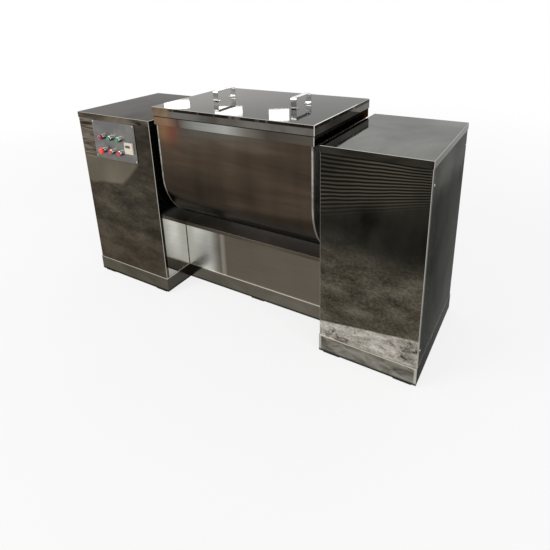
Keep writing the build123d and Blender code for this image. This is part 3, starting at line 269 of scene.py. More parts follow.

# Bay panel, from its left edge: a painted reflection that fades and ends, then a streak
PANEL_EDGE = (0.006, 0.002)
REFLECTION_FADE = (0.07, 0.26)
REFLECTION_END = (0.18, 0.28)
STREAK_START = (0.238, 0.252)
STREAK_END = (0.285, 0.262)

# Trough: painted shade as it curves under, warm at the drive end, a painted highlight at the mouth
UNDER_LIGHT = (0.52, 0.86)
CAST_ENDS = (-0.38, -0.15)
WARM_END = (-0.10, -0.24)
WARM_ABOVE = (0.84, 0.96)
MOUTH_ABOVE = (0.90, 0.98)
MOUTH_LEFT = (-0.24, -0.12)
MOUTH_RIGHT = (0.34, 0.06)

# Stiffener and lid, with a painted shadow line under the lid skirt
RIM_ENDS = (-0.36, 0.54)
SKIRT_SHADOW_LINE = (1.0235, 1.0265)
LID_TOP_ENDS = (-0.25, 0.60)
SKIRT_LINE = (LID_TOP - 0.013, LID_TOP - 0.017)
SKIRT_WARM = (-0.26, -0.31)

# Plinth: the part under the tilt cabinet with painted highlights on its corners, the painted shadow at the
# foot and the painted highlight of the top line
UNDER_CABINET = (RIGHT_FRONT_LEFT - 0.004, RIGHT_FRONT_LEFT - 0.002)
CORNER_HIGHLIGHT_LEFT = (RIGHT_FRONT_LEFT + 0.012, RIGHT_FRONT_LEFT + 0.006)
CORNER_HIGHLIGHT_RIGHT = (PLINTH_RIGHT - 0.014, PLINTH_RIGHT - 0.008)
PLINTH_FOOT = (0.024, 0.012)
PLINTH_TOP_LINE = (PLINTH_TOP - 0.006, PLINTH_TOP - 0.0035)

# Side walls: the change to the painted pale reflection at the top
SIDE_PALE = (0.86, 0.98)

# Colours of the painted highlights on folds and edges
FOLD_HIGHLIGHT = srgb(176, 172, 162)
COVER_FOLD_HIGHLIGHT = srgb(196, 192, 184)
TROUGH_EDGE_HIGHLIGHT = srgb(112, 108, 100)


def grey(level):
    return (level, level, level, 1.0)


def brushed(finish, colour, lines, strength):
    """Fine grain lines laid over a colour."""
    return finish.blend(strength, colour, finish.pair(lines, grey(0.6), grey(1.35)), "MULTIPLY")


def surface(finish, colour, lines, rough, sway):
    """Colour, gloss and the slightly uneven flat of thin polished sheet."""
    finish.colour(colour)
    finish.roughness(lines, *rough)
    finish.bump((finish.noise(2.3, 2.0), sway), (lines, GRAIN_DEPTH))
    return finish.material


def brushed_sheet(finish, colour, grain, scale, strength, rough, sway, detail=2.0):
    """The grain of rolled sheet in colour, gloss and relief."""
    lines = finish.noise(scale, detail, grain)
    return surface(finish, brushed(finish, colour, lines, strength), lines, rough, sway)


def polished(name, tones, rough, fold_highlight, tint, patch=1.6, grain=GRAIN_Z, sway=0.003, metal=1.0):
    """Polished sheet: a soft deep tone, fine grain, a slightly uneven flat and painted highlights on the
    folds.
    """
    finish = Finish(name, metallic=metal, specular_tint=grey(tint))
    cloud = finish.noise(patch, 4.0, (1, 1, 1.6), 0.6)
    fine = finish.noise(34.0, 4.0, (1, 1, 1.3), 0.3)
    colour = finish.tones(finish.span(finish.blend(0.2, cloud, fine), 0.3, 0.7), tones)
    lines = finish.noise(260.0, 2.0, grain)
    # Painted highlight on the bends and cut corners
    colour = finish.blend(finish.fold(), brushed(finish, colour, lines, 0.2), fold_highlight)
    return surface(finish, colour, lines, rough, sway)


def plastic(name, colour, rough=0.3, coat=0.0, shade=0.75):
    """Moulded plastic: a faint cloud in the colour and a fine spark eroded skin."""
    finish = Finish(name, coat_weight=coat, coat_roughness=0.08, ior=1.49)
    darker = tuple(value * shade for value in colour[:3]) + (1.0,)
    cloud = finish.noise(60.0, 3.0)
    finish.colour(finish.blend(cloud, darker, colour))
    skin = finish.noise(2200.0, 2.0)
    finish.roughness(skin, rough * 0.85, rough * 1.15)
    finish.bump((skin, 0.00003))
    return finish.material


def painted(name, colour, rough=0.42, pits=0.0004, scale=90.0):
    """Paint on iron or sheet: orange peel, dust in the hollows and worn edges."""
    finish = Finish(name, coat_weight=0.2, coat_roughness=0.3)
    peel = finish.noise(scale, 4.0)
    dusty = finish.blend(finish.span(finish.noise(9.0, 4.0), 0.45, 0.8), colour, srgb(120, 112, 100))
    dusty = finish.blend(0.25, colour, dusty)
    worn = finish.blend(finish.edges(0.0012), dusty, srgb(150, 150, 146))
    finish.colour(finish.blend(0.7, dusty, worn))
    finish.roughness(peel, rough * 0.8, rough * 1.2)
    finish.bump((peel, pits))
    return finish.material


def left_front_steel():
    """Mirror front of the drive cabinet, in painted reflection: level bands, a plain olive field, a brown
    mottled foot.
    """
    finish = Finish("left_front_steel", metallic=1.0, specular_tint=grey(0.5))
    across = finish.axis("X")
    level = finish.plus(finish.axis("Z"), finish.times(finish.noise(5.0, 3.0), 0.10))
    # Painted reflection: light and dark level bands at the top, dark painted reflection to their right
    bands = finish.noise(8.0, 2.0, (0.3, 1, 5.0), 0.5)
    upper = finish.tones(bands, [(0.30, srgb(52, 46, 39)), (0.42, srgb(124, 116, 103)),
                                 (0.50, srgb(70, 60, 52)), (0.58, srgb(134, 124, 108)),
                                 (0.70, srgb(56, 48, 41))])
    shade = finish.pair(finish.noise(9.0, 4.0, (0.6, 1, 2.0), 0.6), srgb(38, 35, 30), srgb(70, 65, 56))
    upper = finish.blend(finish.span(across, *BANDS_RIGHT), upper, shade)
    # Painted reflection: a plain field, a mottled lower part and a brown foot
    field = finish.pair(finish.noise(3.0, 3.0, (1, 1, 1.5), 0.4), srgb(92, 86, 74), srgb(114, 107, 94))
    cloud = finish.noise(5.0, 3.0, (1, 1, 2.6), 0.3)
    mottled_reflection = finish.blend(0.55, cloud, finish.noise(54.0, 12.0, (1, 1, 1.8), 0.4, 0.82))
    lower = finish.tones(mottled_reflection, [(0.38, srgb(44, 41, 35)), (0.5, srgb(67, 62, 53)),
                                  (0.62, srgb(94, 87, 75))])
    foot = finish.pair(mottled_reflection, srgb(58, 52, 44), srgb(90, 81, 69), 0.4, 0.6)
    colour = finish.blend(finish.span(level, *BANDS_END), upper, field)
    # The field of painted reflection ends in a slanted line on its right
    slant = finish.minus(across, finish.times(level, FIELD_SLANT))
    beside = finish.blend(finish.span(level, *BESIDE_FIELD), lower, shade)
    colour = finish.blend(finish.span(slant, *FIELD_RIGHT), colour, beside)
    colour = finish.blend(finish.span(level, *FIELD_END), colour, lower)
    colour = finish.blend(finish.span(level, *BROWN_FOOT), colour, foot)
    # Painted highlight on the folds
    colour = finish.blend(finish.fold(), colour, FOLD_HIGHLIGHT)
    return brushed_sheet(finish, colour, GRAIN_Z, 240.0, 0.12, (0.04, 0.10), 0.004)


def right_front_steel():
    """Mirror front of the tilt cabinet, in painted reflection: fine ripples, a black middle, mottled ground,
    a pale foot.
    """
    finish = Finish("right_front_steel", metallic=1.0, specular_tint=grey(0.5))
    height = finish.axis("Z")
    across = finish.minus(finish.axis("X"), RIGHT_FRONT_LEFT)
    # Ripple lines of painted reflection fan out from level at the top edge
    fan = finish.minus(height, finish.times(across, RIPPLE_FALL))
    fan = finish.sum("DIVIDE", fan, finish.minus(RIPPLE_REACH, across))
    fan = finish.plus(fan, finish.times(finish.noise(6.0, 2.0), 0.02))
    wave = finish.sum("SINE", finish.times(fan, math.tau / RIPPLE_PITCH))
    crest = finish.blend(finish.span(finish.noise(4.0, 3.0), 0.3, 0.7), srgb(52, 49, 42), srgb(84, 79, 68))
    ripple = finish.blend(finish.span(wave, *RIPPLE_CREST), srgb(20, 19, 17), crest)
    # Painted reflection: a dark middle, mottled ground and a pale streaked foot
    dark = finish.pair(finish.noise(5.0, 6.0, (1.2, 1, 0.8), 0.4), srgb(20, 20, 17), srgb(46, 45, 39))
    mottled_reflection = finish.blend(0.66, finish.noise(7.0, 4.0, (1, 1, 2.2), 0.3),
                          finish.noise(58.0, 12.0, (1, 1, 1.7), 0.3, 0.85))
    ground = finish.tones(mottled_reflection, [(0.40, srgb(40, 37, 31)), (0.5, srgb(76, 71, 61)),
                                   (0.62, srgb(112, 105, 92))])
    reflection_streaks = finish.blend(0.6, finish.noise(14.0, 4.0, (1, 1, 1.6), 0.6),
                         finish.noise(52.0, 12.0, (1, 1, 1.6), 0.8, 0.85))
    foot = finish.tones(reflection_streaks, [(0.40, srgb(58, 53, 47)), (0.47, srgb(142, 136, 127)),
                                (0.54, srgb(182, 176, 167)), (0.62, srgb(216, 212, 205))])
    colour = finish.blend(finish.span(fan, *RIPPLES_END), dark, ripple)
    uneven = finish.plus(height, finish.times(finish.noise(4.0, 4.0), 0.16))
    colour = finish.blend(finish.span(uneven, *GROUND_START), colour, ground)
    slope = finish.minus(height, finish.times(across, FOOT_SLOPE))
    colour = finish.blend(finish.span(slope, *FOOT_START), colour, foot)
    # Painted highlight on the folds
    colour = finish.blend(finish.fold(), colour, FOLD_HIGHLIGHT)
    return brushed_sheet(finish, colour, GRAIN_Z, 240.0, 0.12, (0.04, 0.10), 0.004)


def inner_steel():
    """Mirror walls of the bay: painted shadow beside the trough, a bright painted reflection below the deck.
    """
    finish = Finish("inner_wall_steel", metallic=1.0, specular_tint=grey(0.8))
    height = finish.axis("Z")
    depth = finish.axis("Y")
    # Painted shadow beside the trough, a bright painted reflection below the deck
    dark = finish.pair(finish.noise(3.0, 3.0), srgb(40, 40, 37), srgb(66, 64, 59))
    painted_reflection = finish.pair(finish.noise(3.0, 2.0, (1, 1, 2)), srgb(214, 214, 208), srgb(246, 246, 242))
    # The painted reflection darkens towards the foot and the back of the wall
    toward_foot = finish.pair(finish.span(height, *WALL_FOOT), grey(0.45), grey(1.0), 0.0, 1.0)
    painted_reflection = finish.shaded(painted_reflection, toward_foot)
    painted_reflection = finish.blend(finish.span(depth, *WALL_BACK), painted_reflection, srgb(176, 175, 168))
    colour = finish.blend(finish.span(height, *WALL_REFLECTION), dark, painted_reflection)
    # Painted highlight on the folded front edge
    colour = finish.blend(finish.span(depth, *WALL_EDGE), colour, srgb(150, 146, 138))
    return brushed_sheet(finish, colour, GRAIN_Z, 240.0, 0.1, (0.03, 0.07), 0.001)


def bay_steel():
    """Lower front of the bay: satin sheet with a soft painted reflection beside the drive cabinet."""
    finish = Finish("bay_front_steel", metallic=1.0, specular_tint=grey(0.6))
    across = finish.minus(finish.axis("X"), BAY_PANEL_LEFT)
    reach = finish.plus(across, finish.times(finish.noise(5.0, 2.0), 0.05))
    plain = finish.pair(finish.noise(2.0, 3.0), srgb(90, 84, 74), srgb(102, 96, 86))
    # Painted reflection: near white at the left edge, fading to grey
    pale = finish.blend(finish.span(reach, *REFLECTION_FADE), srgb(252, 252, 248), srgb(158, 157, 148))
    colour = finish.blend(finish.span(reach, *REFLECTION_END), pale, plain)
    streak = finish.times(finish.span(across, *STREAK_START), finish.span(across, *STREAK_END))
    colour = finish.blend(finish.times(streak, 0.5), colour, srgb(160, 156, 146))
    colour = finish.blend(finish.span(across, *PANEL_EDGE), colour, srgb(70, 68, 62))
    return brushed_sheet(finish, colour, GRAIN_X, 300.0, 0.15, (0.26, 0.34), 0.0008)


def trough_steel():
    """Trough skin: satin sheet, warm near the drive end, with painted shade as it curves under and a painted
    highlight at the mouth.
    """
    finish = Finish("trough_steel", metallic=1.0, specular_tint=grey(0.6))
    across = finish.axis("X")
    height = finish.axis("Z")
    bands = finish.noise(3.0, 3.0, (0.25, 1, 2.4), 0.5)
    colour = finish.tones(bands, [(0.30, srgb(52, 45, 38)), (0.5, srgb(68, 58, 48)),
                                  (0.7, srgb(90, 77, 64))])
    colour = finish.shaded(colour, finish.pair(finish.noise(10.0, 2.0, (1, 1, 0.12)), grey(0.82), grey(1.15)))
    # Painted shade: darker as the skin curves under
    light = finish.span(finish.plus(height, finish.times(bands, 0.1)), *UNDER_LIGHT)
    colour = finish.shaded(colour, finish.tones(light, [(0.0, grey(0.36)), (0.5, grey(0.62)),
                                                        (1.0, grey(1.05))]))
    along = finish.span(finish.plus(across, finish.times(bands, 0.04)), *CAST_ENDS, False)
    cast = finish.tones(along, [(0.0, srgb(100, 86, 68)), (0.25, srgb(128, 97, 68)),
                                (0.5, srgb(112, 70, 58)), (0.8, srgb(84, 76, 70))])
    warm = finish.times(finish.span(across, *WARM_END), finish.span(height, *WARM_ABOVE))
    colour = finish.blend(finish.times(warm, 0.9), colour, cast)
    # Painted highlight: a pale glow at the mouth
    glow = finish.times(finish.span(height, *MOUTH_ABOVE), finish.span(across, *MOUTH_RIGHT))
    glow = finish.times(glow, finish.span(across, *MOUTH_LEFT))
    colour = finish.blend(finish.times(glow, 0.4), colour, srgb(110, 110, 104))
    # Painted highlight along the folded and cut edges of the trough
    colour = finish.blend(finish.edges(0.003), colour, TROUGH_EDGE_HIGHLIGHT)
    return brushed_sheet(finish, colour, GRAIN_X, 320.0, 0.3, (0.16, 0.28), 0.004, 3.0)


def rim_steel():
    """Stiffener round the trough mouth: warm at the drive end, painted reflection pale in the middle and dark
    to the right, painted highlights on the folds, a painted shadow line under the lid skirt.
    """
    finish = Finish("rim_steel", metallic=1.0, specular_tint=grey(0.25))
    across = finish.plus(finish.axis("X"), finish.times(finish.noise(7.0, 3.0), 0.08))
    # Painted reflection along the stiffener, pale in the middle and dark to the right
    colour = finish.tones(finish.span(across, *RIM_ENDS, False), [
        (0.0, srgb(120, 100, 80)), (0.10, srgb(134, 106, 84)), (0.19, srgb(84, 66, 60)),
        (0.30, srgb(132, 134, 130)), (0.5, srgb(164, 165, 160)), (0.62, srgb(110, 106, 98)),
        (0.75, srgb(72, 66, 60)), (1.0, srgb(84, 78, 72))])
    # Painted highlight on the folds
    colour = finish.blend(finish.fold(), colour, srgb(190, 188, 180))
    # Painted shadow line just below the lid skirt
    colour = finish.blend(finish.span(finish.axis("Z"), *SKIRT_SHADOW_LINE), colour, srgb(30, 27, 24))
    return brushed_sheet(finish, colour, GRAIN_X, 260.0, 0.2, (0.10, 0.20), 0.002)


def lid_steel():
    """Lid in painted reflection: pale on top and darker to the right, banded on the skirt, painted highlights
    on the folds.
    """
    finish = Finish("lid_steel", metallic=1.0, specular_tint=grey(0.66))
    across = finish.plus(finish.axis("X"), finish.times(finish.noise(2.0, 3.0), 0.3))
    # Painted reflection on the top, pale and darker to the right
    top = finish.tones(finish.span(across, *LID_TOP_ENDS), [
        (0.0, srgb(140, 138, 131)), (0.45, srgb(122, 117, 111)), (1.0, srgb(98, 98, 95))])
    # Painted reflection on the skirt: bright dashes on a dark band over a paler band
    dashes = finish.noise(13.0, 4.0, (1, 1, 0.15), 0.5)
    upper = finish.tones(dashes, [(0.36, srgb(20, 19, 17)), (0.56, srgb(38, 35, 31)),
                                  (0.66, srgb(104, 97, 88))])
    lower = finish.pair(finish.noise(6.0, 3.0, (1, 1, 0.4), 0.6), srgb(78, 74, 69), srgb(108, 105, 100),
                        0.3, 0.6)
    side = finish.blend(finish.span(finish.axis("Z"), *SKIRT_LINE), upper, lower)
    end = finish.pair(finish.noise(16.0, 3.0), srgb(98, 82, 66), srgb(132, 112, 92))
    side = finish.blend(finish.span(finish.axis("X"), *SKIRT_WARM), side, end)
    # Painted light: faces that look up take the pale top, the others the skirt
    colour = finish.blend(finish.upward(), side, top)
    # Painted highlight on the folds
    colour = finish.blend(finish.fold(), colour, srgb(205, 200, 190))
    return brushed_sheet(finish, colour, GRAIN_X, 260.0, 0.12, (0.02, 0.05), 0.0015)


def plinth_steel():
    """Plinth strip: calm grey, a paler mottled painted reflection under the tilt cabinet with painted
    highlights on its corners, painted shade on the ends, a painted shadow at the foot, a painted highlight on
    the top line.
    """
    finish = Finish("plinth_steel", metallic=1.0, specular_tint=grey(0.15))
    across = finish.axis("X")
    height = finish.axis("Z")
    calm = finish.pair(finish.noise(5.0, 5.0, (1, 1, 2), 0.5), srgb(88, 84, 76), srgb(108, 103, 93))
    # Painted reflection, paler and mottled under the tilt cabinet
    pale = finish.tones(finish.noise(13.0, 7.0, (1, 1, 2), 0.6, 0.6),
                        [(0.32, srgb(74, 72, 66)), (0.5, srgb(124, 120, 111)), (0.7, srgb(150, 147, 138))])
    under = finish.span(across, *UNDER_CABINET)
    colour = finish.blend(under, calm, pale)
    # Painted highlights on the rounded corners under the tilt cabinet
    corner_highlights = finish.sum("MAXIMUM", finish.span(across, *CORNER_HIGHLIGHT_RIGHT), finish.span(across, *CORNER_HIGHLIGHT_LEFT))
    corner_highlights = finish.times(finish.times(corner_highlights, under), 0.8)
    colour = finish.blend(corner_highlights, colour, srgb(190, 187, 178))
    # Painted shade on the end faces
    ends = finish.sum("ABSOLUTE", finish.axis("X", finish.facing))
    colour = finish.blend(finish.span(ends, 0.5, 0.9), colour, srgb(74, 73, 67))
    # Painted shadow along the foot
    colour = finish.blend(finish.span(height, *PLINTH_FOOT), colour, srgb(46, 46, 42))
    # Painted highlight along the top line
    colour = finish.blend(finish.span(height, *PLINTH_TOP_LINE), colour, srgb(196, 192, 180))
    return brushed_sheet(finish, colour, GRAIN_X, 260.0, 0.2, (0.12, 0.26), 0.002)


def side_steel():
    """Outer side walls: a pale painted reflection near the top, deep grey green below."""
    finish = Finish("side_steel", metallic=0.65, specular_ior_level=0.0, specular_tint=grey(0.12))
    level = finish.plus(finish.axis("Z"), finish.times(finish.noise(2.6, 4.0), 0.22))
    deep = finish.pair(finish.noise(4.0, 5.0, (1, 1, 0.6), 0.5), srgb(82, 83, 78), srgb(104, 105, 100))
    pale = finish.pair(finish.noise(3.0, 4.0), srgb(120, 121, 117), srgb(152, 152, 148))
    # Painted reflection, pale near the top
    colour = finish.blend(finish.span(level, *SIDE_PALE), deep, pale)
    # Painted highlight on the folds
    colour = finish.blend(finish.fold(), colour, FOLD_HIGHLIGHT)
    return brushed_sheet(finish, colour, GRAIN_Z, 240.0, 0.15, (0.05, 0.11), 0.003)


def cover_steel(name, top, side, tint):
    """Top cover of a cabinet: pale painted reflection on top, the skirt in painted reflection like the wall
    below it, painted highlights on the folds.
    """
    finish = Finish(name, metallic=1.0, specular_tint=grey(tint))
    light = finish.tones(finish.noise(2.2, 4.0, (1, 1, 1), 0.8), top)
    skirt = finish.tones(finish.noise(12.0, 3.0, (0.4, 1, 1), 0.5), side)
    # Painted light: faces that look up take the pale top, the others the dark skirt
    colour = finish.blend(finish.upward(), skirt, light)
    # Painted highlight on the folds
    colour = finish.blend(finish.fold(), colour, COVER_FOLD_HIGHLIGHT)
    return brushed_sheet(finish, colour, GRAIN_Y, 260.0, 0.12, (0.03, 0.08), 0.002)


def chrome(name):
    """Bright plating with a painted reflection, light above and dark below."""
    finish = Finish(name, metallic=1.0)
    level = finish.axis("Z", finish.facing)
    speck = finish.noise(300.0, 2.0)
    # Painted reflection: light on faces that look up, dark on faces that look down
    painted_reflection = finish.tones(finish.span(level, -0.75, 0.75), [
        (0.0, srgb(30, 30, 30)), (0.30, srgb(96, 96, 95)), (0.5, srgb(206, 206, 204)),
        (1.0, srgb(250, 250, 248))])
    finish.colour(finish.blend(0.15, painted_reflection, speck, "MULTIPLY"))
    finish.roughness(speck, 0.06, 0.14)
    finish.bump((speck, 0.00001))
    return finish.material


def turned_steel(name, tone, rough):
    """Machined or rolled steel with a fine tool grain and paler edges."""
    finish = Finish(name, metallic=1.0)
    lines = finish.noise(520.0, 3.0, GRAIN_Y)
    cloud = finish.noise(14.0, 3.0)
    darker = tuple(value * 0.6 for value in tone[:3]) + (1.0,)
    colour = finish.blend(finish.times(finish.plus(lines, cloud), 0.5), darker, tone)
    finish.colour(finish.blend(finish.edges(0.0012), colour, srgb(214, 213, 208)))
    finish.roughness(lines, rough * 0.8, rough * 1.25)
    finish.bump((lines, 0.00003))
    return finish.material


def rubber_skin(name, tone):
    """Black rubber with a dusty bloom."""
    finish = Finish(name, specular_ior_level=0.3)
    bloom = finish.noise(24.0, 5.0)
    finish.colour(finish.tones(bloom, [(0.35, tone), (0.8, srgb(58, 56, 53))]))
    grit = finish.noise(900.0, 3.0)
    finish.roughness(grit, 0.62, 0.85)
    finish.bump((grit, 0.0001))
    return finish.material


# Materials
left_front = left_front_steel()
right_front = right_front_steel()
inner_wall = inner_steel()
bay_front = bay_steel()
trough_skin = trough_steel()
# Each polished finish below takes a painted highlight colour for its folds
end_skin = polished("trough_end_steel",
                    [(0.2, srgb(120, 118, 111)), (0.5, srgb(142, 140, 133)), (0.8, srgb(166, 164, 157))],
                    rough=(0.32, 0.46), fold_highlight=TROUGH_EDGE_HIGHLIGHT, tint=0.6, patch=9.0, metal=0.5)
side_skin = side_steel()
rear_skin = polished("rear_steel",
                     [(0.2, srgb(98, 97, 92)), (0.6, srgb(108, 106, 101)), (0.9, srgb(118, 116, 110))],
                     rough=(0.18, 0.30), fold_highlight=srgb(180, 178, 172), tint=0.6)
left_top = cover_steel("left_top_steel",
                       [(0.3, srgb(86, 81, 75)), (0.5, srgb(104, 99, 92)), (0.7, srgb(124, 118, 111))],
                       [(0.3, srgb(34, 31, 27)), (0.5, srgb(88, 80, 69)), (0.7, srgb(120, 111, 97))], 0.46)
right_top = cover_steel("right_top_steel",
                        [(0.3, srgb(104, 104, 100)), (0.5, srgb(128, 128, 124)), (0.7, srgb(150, 150, 146))],
                        [(0.3, srgb(24, 23, 20)), (0.7, srgb(58, 55, 48))], 0.66)
lid_skin = lid_steel()
rim_skin = rim_steel()
deck_skin = polished("deck_steel",
                     [(0.2, srgb(70, 63, 53)), (0.6, srgb(82, 74, 63)), (0.9, srgb(96, 87, 75))],
                     rough=(0.30, 0.44), fold_highlight=srgb(88, 81, 71), tint=0.3, grain=GRAIN_X, metal=0.35)
plinth_skin = plinth_steel()
plate_skin = polished("control_plate_steel",
                      [(0.2, srgb(112, 110, 108)), (0.5, srgb(119, 117, 115)), (0.85, srgb(127, 126, 122))],
                      rough=(0.34, 0.48), fold_highlight=srgb(196, 198, 196), tint=0.9, patch=6.0, grain=GRAIN_X,
                      sway=0.0)
ring_chrome = chrome("bezel_chrome")
handle_steel = polished("handle_steel",
                        [(0.2, srgb(186, 186, 182)), (0.5, srgb(214, 214, 210)), (0.8, srgb(240, 240, 238))],
                        rough=(0.08, 0.16), fold_highlight=srgb(250, 250, 248), tint=1.0, patch=20.0, grain=GRAIN_X,
                        sway=0.0)
machined = turned_steel("machined_steel", srgb(176, 175, 171), 0.3)
ribbon_steel = turned_steel("ribbon_steel", srgb(160, 158, 153), 0.24)
bolts = turned_steel("fastener_steel", srgb(196, 195, 190), 0.26)
primer = painted("frame_primer", srgb(112, 117, 120))
bearing_blue = painted("bearing_paint", srgb(62, 84, 108), 0.4, 0.0006, 60.0)
reducer_blue = painted("reducer_paint", srgb(34, 74, 122), 0.36, 0.0005, 70.0)
motor_blue = painted("motor_paint", srgb(52, 94, 140), 0.36)
pulley_iron = turned_steel("pulley_iron", srgb(92, 92, 94), 0.4)
cabinet_grey = painted("control_box_paint", srgb(196, 196, 190), 0.5, 0.0002, 200.0)
rubber = rubber_skin("rubber", srgb(22, 22, 22))
gland_black = plastic("gland_black", srgb(30, 30, 31), 0.5)
contact_black = plastic("contact_black", srgb(26, 26, 28), 0.42)
lamp_glass = plastic("lamp_red", srgb(150, 14, 36), 0.12, coat=0.8, shade=0.5)
green = plastic("green_cap", srgb(24, 138, 100), 0.24, coat=0.4)
red = plastic("red_cap", srgb(206, 38, 46), 0.24, coat=0.4)
mushroom_red = plastic("estop_red", srgb(238, 58, 36), 0.28, coat=0.35, shade=0.85)
cream = plastic("timer_cream", srgb(226, 216, 196), 0.34)
window_black = plastic("timer_window", srgb(14, 15, 16), 0.12, coat=0.9)

finishes = {
    "left_front_panel": left_front, "right_front_panel": right_front,
    "left_inner_wall": inner_wall, "right_inner_wall": inner_wall,
    "left_side_panel": side_skin, "right_side_panel": side_skin,
    "left_rear_panel": rear_skin, "right_rear_panel": rear_skin, "bay_rear_panel": rear_skin,
    "left_top_cover": left_top, "right_top_cover": right_top,
    "bay_front_panel": bay_front, "bay_deck": deck_skin, "plinth": plinth_skin,
    "trough_shell": trough_skin, "trough_left_end": end_skin, "trough_right_end": end_skin,
    "trough_rim": rim_skin, "lid": lid_skin, "lid_gasket": rubber, "lid_handles": handle_steel,
    "base_frame": primer, "support_plates": primer, "reducer_bracket": primer, "tilt_bracket": primer,
    "end_bearing_bracket": primer, "foot_pads": rubber, "panel_screws": bolts, "control_plate": plate_skin,
    "button_bezels": ring_chrome, "power_lamp": lamp_glass, "timer": cream, "contact_blocks": contact_black,
    "control_box": cabinet_grey, "cable_gland": gland_black, "trunnion_bearings": bearing_blue,
    "agitator_end_bearing": bearing_blue, "main_reducer": reducer_blue, "tilt_gearbox": reducer_blue,
    "main_motor": motor_blue, "tilt_motor": motor_blue, "drive_belt": rubber,
    "trunnions": machined, "trunnion_bolts": bolts, "shaft_glands": machined, "tilt_gear": machined,
    "tilt_pinion": machined, "agitator_shaft": machined, "ribbon_spokes": machined,
    "outer_ribbon": ribbon_steel, "inner_ribbon": ribbon_steel, "motor_pulley": pulley_iron,
    "reducer_pulley": pulley_iron, "mix_start_button": green, "tilt_start_button": green,
    "mix_stop_button": red, "tilt_return_button": red, "estop_stem": contact_black,
    "estop_head": mushroom_red,
}
for name, material in finishes.items():
    slots = nodes[name].material_slots
    for slot in slots:
        slot.material = material
    if not slots:
        nodes[name].data.materials.append(material)


SHARP_ANGLE = math.radians(38)
CROWN_STEPS = 10
CORNER_STEPS = 5
RIM_STEPS = 6


def keep(piece, material, body, smooth=True):
    """Gives a new piece its material, its shading and the body it rides on."""
    piece.data.materials.append(material)
    if smooth:
        piece.data.shade_smooth()
        piece.data.set_sharp_from_angle(angle=SHARP_ANGLE)
    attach(piece, body)


def piece_from(name, mesh):
    """A new object of a bmesh."""
    data = bpy.data.meshes.new(name)
    mesh.to_mesh(data)
    mesh.free()
    piece = bpy.data.objects.new(name, data)
    bpy.context.scene.collection.objects.link(piece)
    return piece


def joined(name, parts):
    """One object of several."""
    mesh = bmesh.new()
    for part in parts:
        mesh.from_mesh(part.data)
        bpy.data.objects.remove(part)
    return piece_from(name, mesh)


def turned(name, centre, facing, profile, steps=40):
    """A body of revolution: profile is (radius, height along facing) pairs from the back to the tip."""
    mesh = bmesh.new()
    turn = UPWARD.rotation_difference(facing).to_matrix()
    angles = [math.tau * step / steps for step in range(steps)]
    rings = []
    for radius, height in profile:
        places = [(0, 0, height)]
        if radius:
            places = [(radius * math.cos(angle), radius * math.sin(angle), height) for angle in angles]
        rings.append([mesh.verts.new(centre + turn @ Vector(place)) for place in places])
    for lower, upper in zip(rings, rings[1:]):
        for step in range(steps):
            after = (step + 1) % steps
            if len(upper) == 1:
                mesh.faces.new((lower[step], lower[after], upper[0]))
            elif len(lower) == 1:
                mesh.faces.new((lower[0], upper[after], upper[step]))
            else:
                mesh.faces.new((lower[step], lower[after], upper[after], upper[step]))
    bmesh.ops.remove_doubles(mesh, verts=mesh.verts, dist=0.000001)
    bmesh.ops.recalc_face_normals(mesh, faces=mesh.faces)
    return piece_from(name, mesh)


def crown(radius, base, tip, steps=CROWN_STEPS):
    """Profile of a round crown, from its wide edge at base to its tip on the axis."""
    angles = [math.radians(90) * step / steps for step in range(steps)]
    rise = tip - base
    return [(radius * math.cos(angle), base + rise * math.sin(angle)) for angle in angles] + [(0, tip)]


def rounded(width, depth, radius, steps):
    """Points round a rectangle with round corners, about its middle."""
    outline = []
    for index, (side, level) in enumerate(((1, 1), (-1, 1), (-1, -1), (1, -1))):
        for step in range(steps):
            angle = math.radians(90) * (index + step / (steps - 1))
            outline.append((side * (width / 2 - radius) + radius * math.cos(angle),
                            level * (depth / 2 - radius) + radius * math.sin(angle)))
    return outline


def rim_loop(mesh, low, high, level, inset, radius):
    """A ring of points round the inside of a box, set in by (x, y), with round corners."""
    across = (low[0] + high[0]) / 2
    depth = (low[1] + high[1]) / 2
    outline = rounded(high[0] - low[0] - 2 * inset[0], high[1] - low[1] - 2 * inset[1], radius, RIM_STEPS)
    return [mesh.verts.new((across + x, depth + y, level)) for x, y in outline]


def band(mesh, loops):
    """Faces between each ring of points and the next."""
    for first, second in zip(loops, loops[1:]):
        for step in range(len(first)):
            after = (step + 1) % len(first)
            mesh.faces.new((first[step], first[after], second[after], second[step]))


# Button rings: turned, plated, taller round the push buttons than at the lamp and the emergency stop
PLATE_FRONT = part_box("control_plate")[0][1]
RING_OUTER = 0.01475
RING_BORE = 0.01205
RING_LIP = 0.0006
RING_LOW = 0.014
RING_TALL = 0.0185
RING_HEIGHTS = {"power_lamp": RING_LOW, "estop_head": RING_LOW,
                "mix_start_button": RING_TALL, "tilt_start_button": RING_TALL,
                "mix_stop_button": RING_TALL, "tilt_return_button": RING_TALL}


def front_middle(node):
    """Middle of a node, set on the face of the control plate."""
    low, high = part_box(node)
    return Vector(((low[0] + high[0]) / 2, PLATE_FRONT, (low[2] + high[2]) / 2))


def ring_profile(height):
    return [(RING_BORE, 0), (RING_OUTER, 0), (RING_OUTER, height - 3 * RING_LIP),
            (RING_OUTER - RING_LIP, height - RING_LIP), (RING_OUTER - 3 * RING_LIP, height),
            (RING_BORE + RING_LIP, height), (RING_BORE, height - RING_LIP), (RING_BORE, 0)]


rings = joined("bezel_rings", [turned("ring", front_middle(node), FRONT, ring_profile(height))
                               for node, height in RING_HEIGHTS.items()])
keep(rings, ring_chrome, "frame")
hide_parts("button_bezels")

